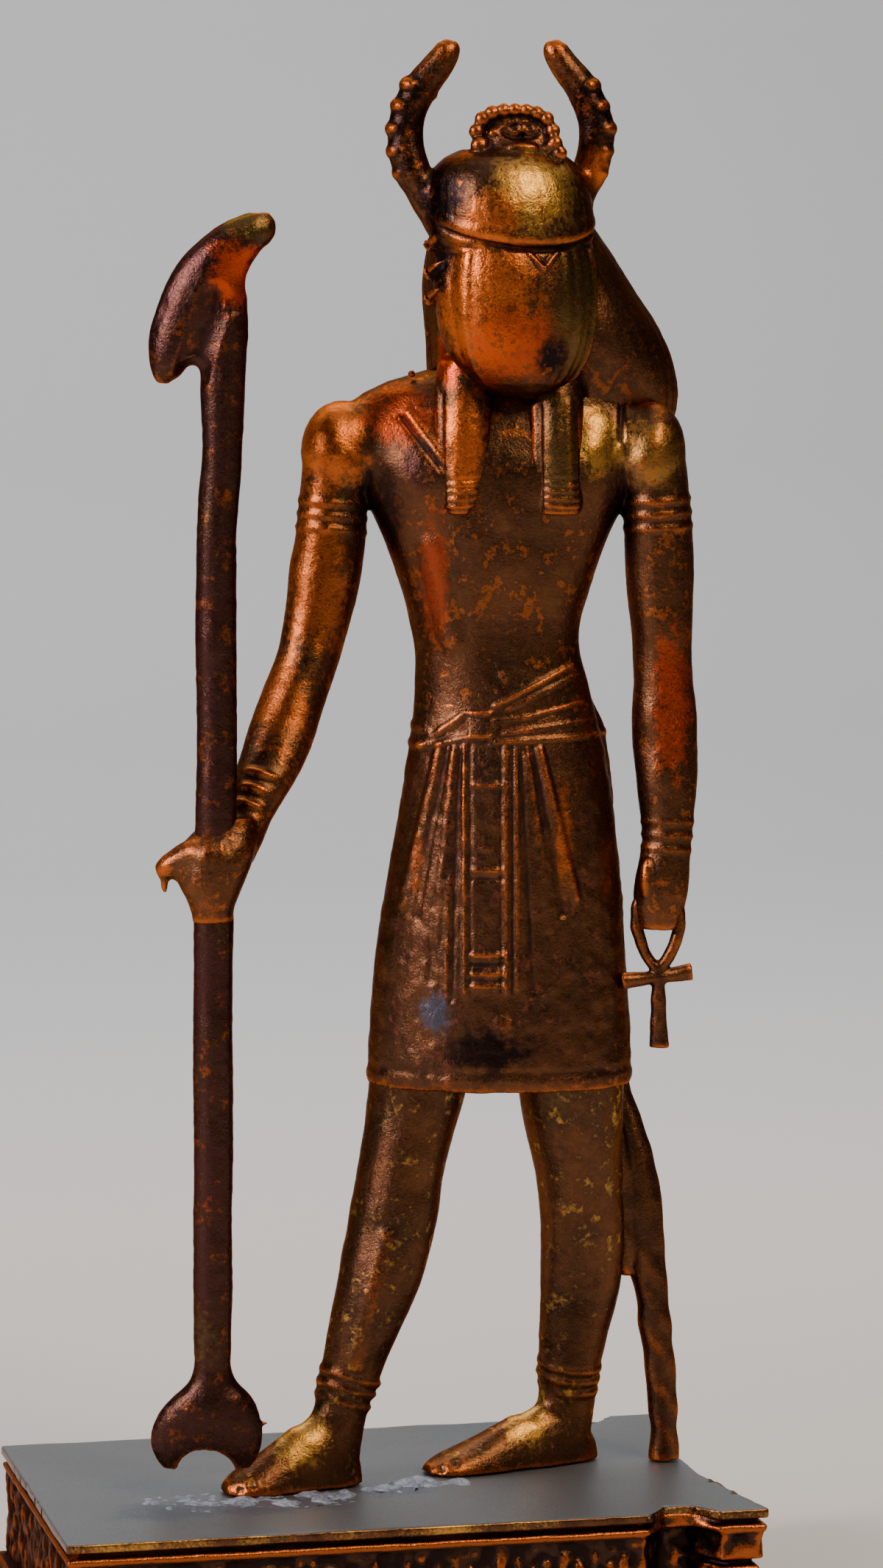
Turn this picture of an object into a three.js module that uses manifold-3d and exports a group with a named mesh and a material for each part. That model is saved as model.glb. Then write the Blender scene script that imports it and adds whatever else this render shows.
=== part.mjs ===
import * as THREE from 'three';
import { mergeVertices } from 'three/addons/utils/BufferGeometryUtils.js';
import Module from 'manifold-3d';

// A small cast souvenir figure of Khepri, the Egyptian god with a scarab beetle for a head, on a
// notched plinth. Millimetres, +Z up. The plinth's middle is on the Z axis and its long side runs
// along X. The figure has a frame of its own: it faces -Y, x is its width, and z = 0 is the top of
// the plinth. That frame is turned and set on the plinth at the end.

const wasm = await Module();
wasm.setup();

// Points are held to this step, which closes up the stray short edges where forms are joined
const POINT_STEP = 0.001;

// Plinth
const PLINTH_LENGTH = 47.2;
const PLINTH_WIDTH = 29.6;
const PLINTH_HEIGHT = 10;
const LIP_THICKNESS = 0.7;
const LIP_CHAMFER = 0.15;
const RECESS_HEIGHT = 0.4;
const RECESS_DEPTH = 0.55;
const ARRIS_HEIGHT = 0.35;
const WALL_INSET = 0.35;
const CAPITAL_HEIGHT = 2.4;
const NECK_HEIGHT = 0.6;
const BASE_HEIGHT = 2.2;
const BASE_FLARE = 0.8;
const NOTCH_START = 15.5;
const NOTCH_END = 20.1;
const NOTCH_DEPTH = 1.9;
const NOTCH_SLOPE = 1.4;
const DEEP_NOTCH = 3.4;
const SIDE_NOTCH_FRONT = -4.1;
const SIDE_NOTCH_BACK = 8.6;
const SIDE_NOTCH_SLOPE = 3.2;
const FRIEZE_STROKES = 14;
const FRIEZE_Z = 5.4;
const SLAB_OVERLAP = 0.05;

// Where the figure stands
const FIGURE_TURN = -12.6;
const FIGURE_X = 8.42;
const FIGURE_Y = -0.77;
const SOLE_GAP = 0.3;

// Heights on the figure
const HEM_Z = 27.15;
const BELT_Z = 50.9;
const SEAM_Z = 84.0;
const HORN_TIP_Z = 97.1;
const HIP_TURN = -12;
const HEAD_TURN = 20;
const BAND_PITCH = 0.9;
const BAND_PROUD = 0.16;
const APRON_BOTTOM_Z = 33.4;
const AXIS_REACH = 0.4;

// Staff
const STAFF_DEPTH = -8;
const STAFF_RADIUS = 1.32;

// Stations of the upright forms: z, then x and y of the middle, half width and half depth
const TRUNK = [
  [HEM_Z, 0, 0, 8.85, 5.3],
  [31, 0, 0, 8.65, 5.15],
  [36, 0.1, 0, 8.25, 4.95],
  [41, 0.35, 0, 7.65, 4.7],
  [46, 0.5, 0, 6.95, 4.4],
  [51, 0.35, 0, 6.25, 3.9],
  [54, 0.1, 0, 5.8, 3.6],
  [57.5, -0.3, 0, 5.62, 3.5],
  [61.5, -0.3, 0, 6.65, 3.9],
  [65, -0.3, 0, 8.0, 4.2],
  [69, -0.3, 0.1, 10.0, 4.2],
  [72.4, -0.5, 0.3, 10.6, 3.6],
  [73.6, -0.6, 0.4, 9.3, 3.2],
  [74.5, -0.6, 0.6, 7.1, 2.7],
  [75.3, -0.5, 0.8, 4.4, 2.0],
];
const STAFF_ARM = [
  [42.8, -17.8, -7.2, 1.5, 1.6],
  [45.6, -16.75, -5.9, 1.65, 1.6],
  [49, -15.3, -4.0, 2.25, 2.0],
  [52.7, -14, -2.2, 2.3, 2.1],
  [57, -12.55, -0.9, 2.18, 2.1],
  [61.5, -11.7, -0.4, 2.42, 2.3],
  [66, -11.2, 0, 2.3, 2.4],
  [71, -10.95, 0, 2.1, 2.5],
];
const ANKH_ARM = [
  [37.8, 10.6, -1.3, 1.5, 1.3],
  [40.5, 10.85, -1.2, 1.85, 1.7],
  [43.7, 11.2, -1, 1.68, 1.6],
  [47.5, 11.2, -0.6, 2.08, 2.0],
  [51.5, 11.05, -0.2, 2.18, 2.15],
  [56, 10.9, 0, 1.98, 2.1],
  [61.5, 10.72, 0, 2.3, 2.3],
  [66, 10.5, 0, 2.25, 2.4],
  [71, 10.2, 0, 2.0, 2.5],
];
const FORWARD_LEG = [
  [0.6, -11.1, -3.3, 1.5, 1.6],
  [3.8, -11, -3.1, 1.85, 1.75],
  [5.9, -10.52, -2.8, 1.95, 1.8],
  [9.7, -9.4, -2.4, 2.38, 2.1],
  [13.7, -8.13, -2, 2.88, 2.5],
  [17.6, -7.25, -1.4, 3.02, 2.7],
  [21.3, -6.65, -0.9, 2.98, 2.9],
  [25.4, -5.75, -0.2, 3.25, 3.3],
  [31, -4.8, 0, 3.7, 3.8],
];
const REAR_LEG = [
  [0.6, 4.7, 4.1, 1.5, 1.6],
  [4.6, 4.65, 4.05, 2.03, 1.85],
  [8.5, 5.1, 3.5, 2.3, 2.1],
  [12.8, 5.62, 2.8, 2.8, 2.5],
  [17, 5.66, 2.1, 2.88, 2.7],
  [20.6, 5.4, 1.55, 2.98, 3.0],
  [23.3, 5.1, 1.2, 3.3, 3.2],
  [25.6, 4.9, 0.9, 3.52, 3.4],
  [31, 4.7, 0.5, 3.9, 3.8],
];
const TAIL = [
  [SOLE_GAP, 11.4, 3.7, 0.95, 0.9],
  [5, 11.22, 3.7, 1.06, 1.0],
  [12, 10.45, 3.9, 1.2, 1.1],
  [15, 10.0, 4.1, 1.4, 1.15],
  [18.8, 9.62, 4.3, 1.35, 1.15],
  [22.7, 9.02, 4.7, 1.0, 1.0],
  [26, 8.12, 5.1, 0.85, 0.95],
  [30, 7.85, 5.3, 0.85, 0.9],
  [38, 7.5, 4.6, 0.95, 0.95],
  [46, 6.75, 3.4, 0.9, 0.9],
  [52, 6, 1.8, 0.8, 0.8],
];
const WIG = [
  [61.5, 1, 3.4, 4.4, 1.3],
  [65, 1.9, 3.8, 5.6, 2.3],
  [69, 3.2, 3.7, 7.3, 3.9],
  [73, 3.5, 3.3, 8.3, 5.2],
  [77, 2.95, 2.6, 7.9, 5.8],
  [81, 1.65, 2, 6.75, 5.5],
  [84.5, 0.9, 1.2, 5.4, 4.6],
  [87.6, 0.7, 0, 3.6, 2.8],
];
const ELYTRA = [
  [73.3, 1.5, -2.8, 1.2, 1.2],
  [74, 1.4, -2.9, 2.9, 2.6],
  [75.4, 1.15, -3, 4.55, 3.6],
  [77.4, 1.05, -3, 5.4, 4.4],
  [80, 0.95, -2.9, 5.75, 4.7],
  [82.4, 0.9, -2.8, 5.65, 4.6],
  [SEAM_Z, 0.85, -2.6, 5.1, 4.2],
];
const PRONOTUM = [
  [SEAM_Z - 0.7, 0.75, -2.6, 4.9, 4.2],
  [SEAM_Z + 0.1, 0.7, -2.6, 5.5, 4.9],
  [86.2, 0.6, -2.5, 5.75, 5.1],
  [88.2, 0.4, -2.4, 5.4, 4.6],
  [89.3, 0.3, -2.4, 4.6, 3.8],
  [89.9, 0.5, -2.4, 3.4, 2.8],
];

// Stations of the forms that sweep through the air: x, y, z, half width and half depth
const STAFF_HORN = [
  [-4.5, -3.3, 85.5, 1.25, 1.3],
  [-5.45, -3.2, 87.4, 1.25, 1.25],
  [-6.2, -3.1, 89.2, 1.25, 1.2],
  [-6.3, -3, 91, 1.2, 1.2],
  [-5.95, -3, 92.5, 1.2, 1.15],
  [-5.2, -3, 93.9, 1.15, 1.1],
  [-4.4, -3, 94.9, 1.05, 1.0],
  [-3.75, -3, 95.8, 0.95, 0.9],
  [-3.45, -3, 96.5, 0.8, 0.8],
  [-3.35, -3, HORN_TIP_Z, 0.3, 0.3],
];
const ANKH_HORN = [
  [4.6, -0.4, 85.5, 1.25, 1.3],
  [5.4, -0.2, 87.4, 1.25, 1.25],
  [6.35, 0, 89.2, 1.25, 1.2],
  [6.35, 0, 91, 1.2, 1.2],
  [6.0, 0, 92.5, 1.2, 1.15],
  [5.3, 0, 93.9, 1.15, 1.1],
  [4.5, 0, 94.9, 1.05, 1.0],
  [3.85, 0, 95.8, 0.95, 0.9],
  [3.55, 0, 96.5, 0.8, 0.8],
  [3.5, 0, HORN_TIP_Z, 0.3, 0.3],
];
const STAFF_SNOUT = [
  [-15, STAFF_DEPTH, 85.2, 0.5, 0.5],
  [-15.7, STAFF_DEPTH, 84.75, 0.9, 0.9],
  [-17.3, STAFF_DEPTH, 83.3, 1.75, 1.5],
  [-19, STAFF_DEPTH, 81.2, 2.3, 1.7],
  [-20.5, STAFF_DEPTH, 78.5, 2.05, 1.7],
  [-21.5, STAFF_DEPTH, 76.2, 1.45, 1.5],
  [-21.9, STAFF_DEPTH, 74.9, 0.8, 0.9],
  [-22, STAFF_DEPTH, 74.4, 0.25, 0.3],
];
const STAFF_THUMB = [
  [-18.2, -8.6, 43.4, 1.6, 1.3],
  [-20.6, -8.4, 43.2, 1.25, 1.1],
  [-22, -8, 42.5, 0.75, 0.7],
  [-22.6, -7.9, 42.3, 0.3, 0.3],
];

// Stations of the staff and of the hand that closes round it
const STAFF_SHAFT = [
  [8.2, -19.18, STAFF_DEPTH, STAFF_RADIUS, 1.2],
  [28, -19.05, STAFF_DEPTH, STAFF_RADIUS, 1.25],
  [39, -18.98, STAFF_DEPTH, STAFF_RADIUS, 1.25],
  [50, -18.73, STAFF_DEPTH, STAFF_RADIUS, 1.25],
  [65.5, -18.6, STAFF_DEPTH, 1.34, 1.25],
  [71, -18.25, STAFF_DEPTH, 1.36, 1.25],
  [76, -18.2, STAFF_DEPTH, 1.5, 1.3],
  [81.5, -17.6, STAFF_DEPTH, 1.7, 1.4],
];
const STAFF_FORK = [
  [2.2, -19.6, STAFF_DEPTH, 2.9, 0.7],
  [3, -19.6, STAFF_DEPTH, 3.45, 1.05],
  [4.3, -19.6, STAFF_DEPTH, 3.75, 1.2],
  [5.9, -19.45, STAFF_DEPTH, 3.35, 1.3],
  [7, -19.3, STAFF_DEPTH, 2.65, 1.3],
  [8.1, -19.2, STAFF_DEPTH, 1.6, 1.25],
  [9.4, -19.2, STAFF_DEPTH, 1.3, 1.2],
];
const STAFF_FIST = [
  [38.9, -18.98, STAFF_DEPTH, 1.34, 1.3],
  [40.3, -19.05, -8.1, 1.6, 1.7],
  [42, -19.1, -8.1, 2.4, 2.1],
  [43.6, -18.7, -7.9, 2.6, 2.1],
  [45, -18.1, -7.4, 2.1, 1.8],
  [45.9, -17.8, -7.2, 1.4, 1.2],
];

// Closed skins through rings of points, and solids made from them

function toSolid(geometry) {
  geometry.deleteAttribute('normal');
  geometry.deleteAttribute('uv');
  const merged = mergeVertices(geometry, 1e-5);
  return new wasm.Manifold(new wasm.Mesh({
    numProp: 3,
    vertProperties: new Float32Array(merged.attributes.position.array),
    triVerts: new Uint32Array(merged.index.array),
  }));
}

function middleOf(ring) {
  const sum = ring.reduce((total, point) => total.add(point), new THREE.Vector3());
  return sum.divideScalar(ring.length);
}

// A closed body through rings with equal numbers of points, turned the right way out.
function skin(rings) {
  const sides = rings[0].length;
  const points = [...rings.flat(), middleOf(rings[0]), middleOf(rings.at(-1))];
  const first = points.length - 2;
  const faces = [];
  for (let k = 0; k < sides; k += 1) {
    const next = (k + 1) % sides;
    for (let row = 0; row < rings.length - 1; row += 1) {
      const low = row * sides;
      const high = low + sides;
      faces.push([low + k, low + next, high + next], [low + k, high + next, high + k]);
    }
    const last = (rings.length - 1) * sides;
    faces.push([first, next, k], [first + 1, last + k, last + next]);
  }
  const volume = faces.reduce((sum, [a, b, c]) => (
    sum + points[a].dot(new THREE.Vector3().crossVectors(points[b], points[c]))), 0);
  const outward = volume > 0 ? faces : faces.map(([a, b, c]) => [a, c, b]);
  const geometry = new THREE.BufferGeometry().setFromPoints(points);
  geometry.setIndex(outward.flat());
  return toSolid(geometry);
}

// A ring round a middle point, on two half axes given as vectors.
function ring(middle, across, along, sides) {
  return Array.from({ length: sides }, (_, k) => {
    const angle = (k / sides) * 2 * Math.PI;
    return middle.clone()
      .addScaledVector(across, Math.cos(angle))
      .addScaledVector(along, Math.sin(angle));
  });
}

// The smooth value between stations at a place on their first column.
function sectionAt(stations, place) {
  const last = stations.length - 1;
  const found = stations.findIndex((station, k) => k > 0 && place <= station[0]);
  const high = found < 0 ? last : found;
  const low = high - 1;
  const span = stations[high][0] - stations[low][0];
  const t = THREE.MathUtils.clamp((place - stations[low][0]) / span, 0, 1);
  const slope = (k, column) => {
    const before = stations[Math.max(k - 1, 0)];
    const after = stations[Math.min(k + 1, last)];
    return (after[column] - before[column]) / (after[0] - before[0]);
  };
  return stations[low].map((value, column) => {
    const rise = stations[high][column] - value;
    const leave = slope(low, column) * span;
    const arrive = slope(high, column) * span;
    return value + rise * t * t * (3 - 2 * t)
      + t * (1 - t) * ((1 - t) * leave - t * arrive);
  });
}

// The heights of a stack's rings, each with how far its ring stands proud. A band is a cast ring
// round a limb, and a group of bands is given by its lowest height and its count.
function ringHeights(stations, perSpan, bands) {
  const regular = [];
  stations.slice(1).forEach(([high], k) => {
    const low = stations[k][0];
    for (let step = 0; step < perSpan; step += 1) {
      regular.push([THREE.MathUtils.lerp(low, high, step / perSpan), 0]);
    }
  });
  regular.push([stations.at(-1)[0], 0]);
  const free = regular.filter(([height]) => bands.every(([low, count]) => (
    height < low - BAND_PITCH || height > low + count * BAND_PITCH)));
  const raised = bands.flatMap(([low, count]) => (
    Array.from({ length: 2 * count + 1 }, (_, k) => (
      [low + (k - 1) * BAND_PITCH / 2, k % 2 === 1 ? BAND_PROUD : 0]))));
  return [...free, ...raised].sort((a, b) => a[0] - b[0]);
}

// An upright form: elliptical rings that follow its stations, level or square to the form's axis.
function stack(stations, { sides = 10, perSpan = 1, turn = 0, square = false, bands = [] } = {}) {
  return skin(ringHeights(stations, perSpan, bands).map(([height, proud]) => {
    const [z, x, y, wide, deep] = sectionAt(stations, height);
    const above = sectionAt(stations, height + AXIS_REACH);
    const below = sectionAt(stations, height - AXIS_REACH);
    const axis = square
      ? new THREE.Vector3(above[1] - below[1], above[2] - below[2], above[0] - below[0]).normalize()
      : new THREE.Vector3(0, 0, 1);
    const across = new THREE.Vector3(1, 0, 0).addScaledVector(axis, -axis.x).normalize();
    const along = new THREE.Vector3().crossVectors(axis, across);
    const half = wide * across.x + proud;
    across.applyAxisAngle(axis, turn * THREE.MathUtils.DEG2RAD);
    along.applyAxisAngle(axis, turn * THREE.MathUtils.DEG2RAD);
    return ring(
      new THREE.Vector3(x, y, z), across.multiplyScalar(half), along.multiplyScalar(deep + proud), sides);
  }));
}

// A form that sweeps along a smooth path, with rings square to it.
function sweep(stations, { sides = 10, steps = 12 } = {}) {
  const path = new THREE.CatmullRomCurve3(
    stations.map(([x, y, z]) => new THREE.Vector3(x, y, z)), false, 'centripetal');
  const depth = new THREE.Vector3(0, 1, 0);
  const spans = stations.length - 1;
  const rings = [];
  for (let step = 0; step <= steps; step += 1) {
    const t = step / steps;
    const low = Math.min(Math.floor(t * spans), spans - 1);
    const share = t * spans - low;
    const wide = THREE.MathUtils.lerp(stations[low][3], stations[low + 1][3], share);
    const deep = THREE.MathUtils.lerp(stations[low][4], stations[low + 1][4], share);
    const across = new THREE.Vector3().crossVectors(path.getTangent(t), depth).normalize();
    const along = new THREE.Vector3().crossVectors(across, path.getTangent(t)).normalize();
    rings.push(ring(path.getPoint(t), across.multiplyScalar(wide), along.multiplyScalar(deep), sides));
  }
  return skin(rings);
}

function ball(x, y, z, wide, deep, high, { columns = 10, rows = 6, turn = 0 } = {}) {
  const geometry = new THREE.SphereGeometry(1, columns, rows);
  geometry.rotateX(Math.PI / 2);
  geometry.scale(wide, deep, high);
  geometry.rotateZ(turn * THREE.MathUtils.DEG2RAD);
  geometry.translate(x, y, z);
  return toSolid(geometry);
}

function block(x, y, z, wide, deep, high, turn = 0) {
  const geometry = new THREE.BoxGeometry(wide, deep, high);
  geometry.rotateZ(turn * THREE.MathUtils.DEG2RAD);
  geometry.translate(x, y, z);
  return toSolid(geometry);
}

function join(solids) {
  return solids.flat(Infinity).reduce((sum, solid) => sum.add(solid));
}

// A raised fold on the trunk: it follows the surface from one angle and height to another.
// Angle 0 is the front and positive angles are towards the ankh arm.
function fold([fromAngle, fromZ], [toAngle, toZ], { half = 0.35, proud = 0.3, steps = 6 } = {}) {
  const rings = [];
  for (let step = 0; step <= steps; step += 1) {
    const t = step / steps;
    const angle = THREE.MathUtils.lerp(fromAngle, toAngle, t) * THREE.MathUtils.DEG2RAD;
    const height = THREE.MathUtils.lerp(fromZ, toZ, t);
    const steep = Math.abs(toZ - fromZ) > Math.abs(toAngle - fromAngle) * 0.1;
    const corners = [[-1, -0.5], [-0.7, proud], [0.7, proud], [1, -0.5]];
    rings.push(corners.map(([side, raise]) => {
      const z = steep ? height : height + side * half;
      const [, x, y, wide, deep] = sectionAt(TRUNK, z);
      const shift = steep ? (side * half) / wide : 0;
      return new THREE.Vector3(
        x + (wide + raise) * Math.sin(angle + shift),
        y - (deep + raise) * Math.cos(angle + shift),
        z,
      );
    }));
  }
  return skin(rings);
}

// Legs and feet

// A foot runs along the ground from heel to toe, with a flat sole.
function foot([heelX, heelY], [toeX, toeY], arch) {
  const heel = new THREE.Vector3(heelX, heelY, SOLE_GAP);
  const run = new THREE.Vector3(toeX - heelX, toeY - heelY, 0);
  const across = new THREE.Vector3(-run.y, run.x, 0).normalize();
  const profile = [
    [0, 0.7, 1.2], [0.06, 1.35, 2.8], [0.2, 1.6, 4.6], [0.36, 1.8, 4.6],
    [0.48, 2.0, 3.6], [0.62, 2.25, 2.5], [0.78, 2.35, 1.8], [0.92, 2.0, 1.3], [1, 0.9, 0.7],
  ];
  return skin(profile.map(([share, half, level]) => {
    const height = level * arch;
    const middle = heel.clone().addScaledVector(run, share);
    return Array.from({ length: 12 }, (_, k) => {
      const angle = (k / 12) * 2 * Math.PI;
      const point = middle.clone().addScaledVector(across, half * Math.cos(angle));
      point.z += Math.max(height * Math.sin(angle), 0);
      return point;
    });
  }));
}

function legs() {
  return [
    stack(FORWARD_LEG, { square: true, bands: [[6.1, 2]] }),
    stack(REAR_LEG, { square: true, bands: [[5.3, 2]] }),
    foot([-9.5, -2.9], [-18.5, -6.4], 1.12),
    foot([6.6, 4.6], [-5.0, -0.6], 0.92),
  ];
}

// Trunk: chest, waist and kilt, with the belt, the apron and the pleats

function trunk() {
  const sash = [0, 1].map((k) => (
    fold([-18, 51 + k * 1.2], [82, 53.2 + k * 2], { half: 0.65, proud: 0.28, steps: 6 })));
  const belt = [[-105, -12, 51], [-2, 105, 50.2]].map(([from, to, height]) => (
    fold([from, height], [to, height], { half: 1.05, proud: 0.28, steps: 6 })));
  const pleats = [[[-35, 48.5], [-62, 38.5]], [[-27, 48.5], [-45, 38]], [[14, 48.5], [26, 39]],
    [[22, 48.5], [44, 38.5]]].map(([from, to]) => fold(from, to, { steps: 3 }));
  const buckle = block(-0.8, -4.25, 51.2, 1.6, 0.9, 1.7, HIP_TURN);
  return [stack(TRUNK, { sides: 18 }), sash, belt, pleats, buckle];
}

// The apron hangs from the belt: a raised frame with cross bars and a rounded end.
function apron() {
  const top = BELT_Z - 1.5;
  const edges = [-1, 1].map((side) => (
    fold([HIP_TURN - 1 + side * 20, top], [HIP_TURN - 1 + side * 17, APRON_BOTTOM_Z],
      { half: 0.28, proud: 0.42, steps: 3 })));
  const bars = [47, 41.3, 35].map((height) => (
    fold([HIP_TURN - 19, height], [HIP_TURN + 17, height], { half: 0.3, proud: 0.38, steps: 3 })));
  const panel = fold([HIP_TURN, top], [HIP_TURN, APRON_BOTTOM_Z], { half: 1.9, proud: 0.15, steps: 3 });
  const end = ball(-1.15, -5.0, 31.4, 1.2, 0.55, 1.25, { turn: HIP_TURN });
  return [edges, bars, panel, end];
}

function shoulders() {
  return [
    ball(-10.5, 0, 69.6, 2.8, 2.9, 3.5, { columns: 12, rows: 7 }),
    ball(9.85, 0, 69.5, 2.55, 2.9, 3.6, { columns: 12, rows: 7 }),
  ];
}

// Arms and what the hands hold

function staffArm() {
  return [
    stack(STAFF_ARM, { square: true, bands: [[46.2, 3], [64.3, 3]] }),
    stack(STAFF_FIST),
    sweep(STAFF_THUMB, { sides: 8, steps: 4 }),
  ];
}

function staff() {
  const arch = ball(-19.65, STAFF_DEPTH, 1.9, 2.05, 3, 1.95, { columns: 10, rows: 6 });
  const fork = stack(STAFF_FORK, { sides: 12 }).subtract(arch);
  return [
    stack(STAFF_SHAFT, { sides: 8 }),
    sweep(STAFF_SNOUT, { sides: 10, steps: 9 }),
    fork,
  ];
}

function ankhArm() {
  return [
    stack(ANKH_ARM, { square: true, bands: [[43.1, 3], [64.5, 3]] }),
  ];
}

function ankh() {
  const y = -1.5;
  const knot = 34.5;
  const branches = [-1, 1].map((side) => sweep([
    [10.6 + side * 1.3, y, 39.4, 0.42, 0.5],
    [10.6 + side * 1.48, y, 37.8, 0.42, 0.5],
    [10.6 + side * 1.05, y, 36.1, 0.45, 0.5],
    [10.6 + side * 0.1, y, knot, 0.45, 0.5],
  ], { sides: 6, steps: 5 }));
  const stem = sweep([
    [10.6, y, 35.3, 0.4, 0.5],
    [10.65, y, knot, 0.45, 0.55],
    [10.7, y, 29.65, 0.66, 0.55],
  ], { sides: 6, steps: 2 });
  const bar = sweep([
    [7.6, y - 0.6, 34.15, 0.72, 0.55],
    [9.8, y - 0.1, 34.3, 0.6, 0.55],
    [10.7, y, 34.35, 0.6, 0.55],
    [12.9, y + 0.4, 34.6, 0.62, 0.55],
  ], { sides: 6, steps: 3 });
  return [branches, stem, bar];
}

// Head: a wig, its two lappets, and the beetle with its raised forelegs

function wig() {
  const lappets = [[-2.1, 1.75], [3.9, 1.95]].map(([x, half]) => stack([
    [65.6, x, -3.1, half, 1.4],
    [67.5, x, -3.1, half, 1.6],
    [71.5, x * 0.97, -2.7, half, 1.8],
    [76, x * 0.9, -1.4, half, 2.2],
  ], { sides: 8 }));
  return [stack(WIG, { sides: 18 }), lappets];
}

function beetle() {
  const turn = { turn: HEAD_TURN };
  const pronotum = stack(PRONOTUM, { sides: 18, ...turn });
  const shield = ball(3.0, -7.0, SEAM_Z - 1.2, 1.2, 0.6, 1.1, { columns: 6, rows: 4, ...turn });
  const tuckedLegs = [81.6, 79.6].map((height) => sweep([
    [-4.2, -5.2, height + 1.2, 0.5, 0.5],
    [-4.9, -3.4, height, 0.55, 0.6],
    [-4.6, -1.6, height + 0.6, 0.5, 0.5],
  ], { sides: 6, steps: 3 }));
  return [stack(ELYTRA, { sides: 18, ...turn }), pronotum, shield, tuckedLegs];
}

// The beetle's flat head: a bead-rimmed hollow above the pronotum.
function clypeus() {
  const [x, y, z] = [0.95, -3.4, 90.6];
  const body = stack([
    [88.2, x - 0.2, y, 4.0, 3.0],
    [89.4, x - 0.1, y, 3.4, 2.5],
    [90.8, x, y, 2.85, 1.9],
    [92.0, x, y, 2.6, 1.4],
    [92.7, x, y, 1.9, 0.8],
  ], { sides: 14 });
  const hollow = ball(x + 0.4, y - 1.9, z + 0.6, 1.65, 1.1, 0.85, { columns: 10, rows: 5 });
  const beads = Array.from({ length: 9 }, (_, k) => {
    const angle = (k / 8) * Math.PI * 1.18 - Math.PI * 0.09;
    const lift = Math.sin(angle);
    return ball(x + 2.6 * Math.cos(angle), y - 1.2 + 0.5 * lift, z + 0.1 + 1.75 * lift,
      0.6, 0.6, 0.6, { columns: 6, rows: 3 });
  });
  return [body.subtract(hollow), beads];
}

function horns() {
  return [[STAFF_HORN, -1], [ANKH_HORN, 1]].map(([stations, side]) => {
    const horn = sweep(stations, { sides: 8, steps: 11 });
    const knobs = [[7.05, 89.2], [7.2, 90.8], [6.85, 92.5], [6.2, 94.1]].map(([reach, height]) => (
      ball(side * reach, stations[3][1], height, 0.75, 0.8, 0.7, { columns: 6, rows: 4 })));
    return [horn, knobs];
  });
}

// Plinth

// The outline: two notches at one end part off the corner blocks. The walls and the blocks are
// drawn in by insets of their own.
function plinthOutline(inset, blockInset = inset, notch = NOTCH_DEPTH) {
  const [halfLength, halfWidth] = [PLINTH_LENGTH / 2, PLINTH_WIDTH / 2];
  const [x, y] = [halfLength - inset, halfWidth - inset];
  const [blockX, blockY] = [halfLength - blockInset, halfWidth - blockInset];
  const start = NOTCH_START - inset;
  const end = NOTCH_END + blockInset;
  const notchY = halfWidth - notch;
  const notchX = halfLength - NOTCH_DEPTH - inset;
  const front = [
    [-x, -y], [start, -y], [NOTCH_START + NOTCH_SLOPE, -notchY], [NOTCH_END - NOTCH_SLOPE, -notchY],
    [end, -blockY], [blockX, -blockY], [blockX, SIDE_NOTCH_FRONT - blockInset],
    [notchX, SIDE_NOTCH_FRONT + SIDE_NOTCH_SLOPE],
  ];
  const back = [
    [notchX, SIDE_NOTCH_BACK - SIDE_NOTCH_SLOPE], [blockX, SIDE_NOTCH_BACK + blockInset],
    [blockX, blockY], [end, blockY], [NOTCH_END - NOTCH_SLOPE, notchY],
    [NOTCH_START + NOTCH_SLOPE, notchY], [start, y], [-x, y],
  ];
  return [...front, ...back];
}

function slab(outline, bottom, top) {
  const shape = new THREE.Shape(outline.map(([x, y]) => new THREE.Vector2(x, y)));
  const geometry = new THREE.ExtrudeGeometry(shape, { depth: top - bottom, bevelEnabled: false });
  geometry.translate(0, 0, bottom);
  return toSolid(geometry);
}

// A row of short raised strokes along the front, in place of the relief.
function frieze() {
  const wallX = PLINTH_LENGTH / 2 - WALL_INSET;
  const wallY = PLINTH_WIDTH / 2 - WALL_INSET;
  const pitch = (NOTCH_START + wallX - 3) / FRIEZE_STROKES;
  return Array.from({ length: FRIEZE_STROKES }, (_, k) => {
    const x = -wallX + 1.6 + (k + 0.5) * pitch;
    const high = 1.6 + 0.9 * ((k * 7) % 3);
    return block(x, -wallY, FRIEZE_Z, pitch * 0.45, 0.5, high);
  });
}

function plinthBody() {
  const lipBottom = PLINTH_HEIGHT - LIP_THICKNESS;
  const wallTop = lipBottom - RECESS_HEIGHT;
  const arrisBottom = wallTop - ARRIS_HEIGHT;
  const capitalBottom = wallTop - CAPITAL_HEIGHT;
  const neckBottom = capitalBottom - NECK_HEIGHT;
  const ringBottom = neckBottom - NECK_HEIGHT;
  const levels = [
    [PLINTH_HEIGHT, lipBottom, LIP_CHAMFER],
    [PLINTH_HEIGHT - LIP_CHAMFER, lipBottom + LIP_CHAMFER, 0],
    [lipBottom, wallTop, RECESS_DEPTH],
    [wallTop, arrisBottom, 0.1],
    [arrisBottom, capitalBottom, WALL_INSET, 0.3, DEEP_NOTCH],
    [capitalBottom, neckBottom, WALL_INSET, 0.95, DEEP_NOTCH],
    [neckBottom, ringBottom, WALL_INSET, 0.45, DEEP_NOTCH],
    [ringBottom, BASE_HEIGHT, WALL_INSET, 0.8, DEEP_NOTCH],
    [BASE_HEIGHT, BASE_HEIGHT - 0.5, -BASE_FLARE / 2],
    [BASE_HEIGHT - 0.5, 0, -BASE_FLARE],
  ];
  return join([
    levels.map(([top, bottom, ...insets]) => (
      slab(plinthOutline(...insets), Math.max(bottom - SLAB_OVERLAP, 0), top))),
    frieze(),
  ]);
}

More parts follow.
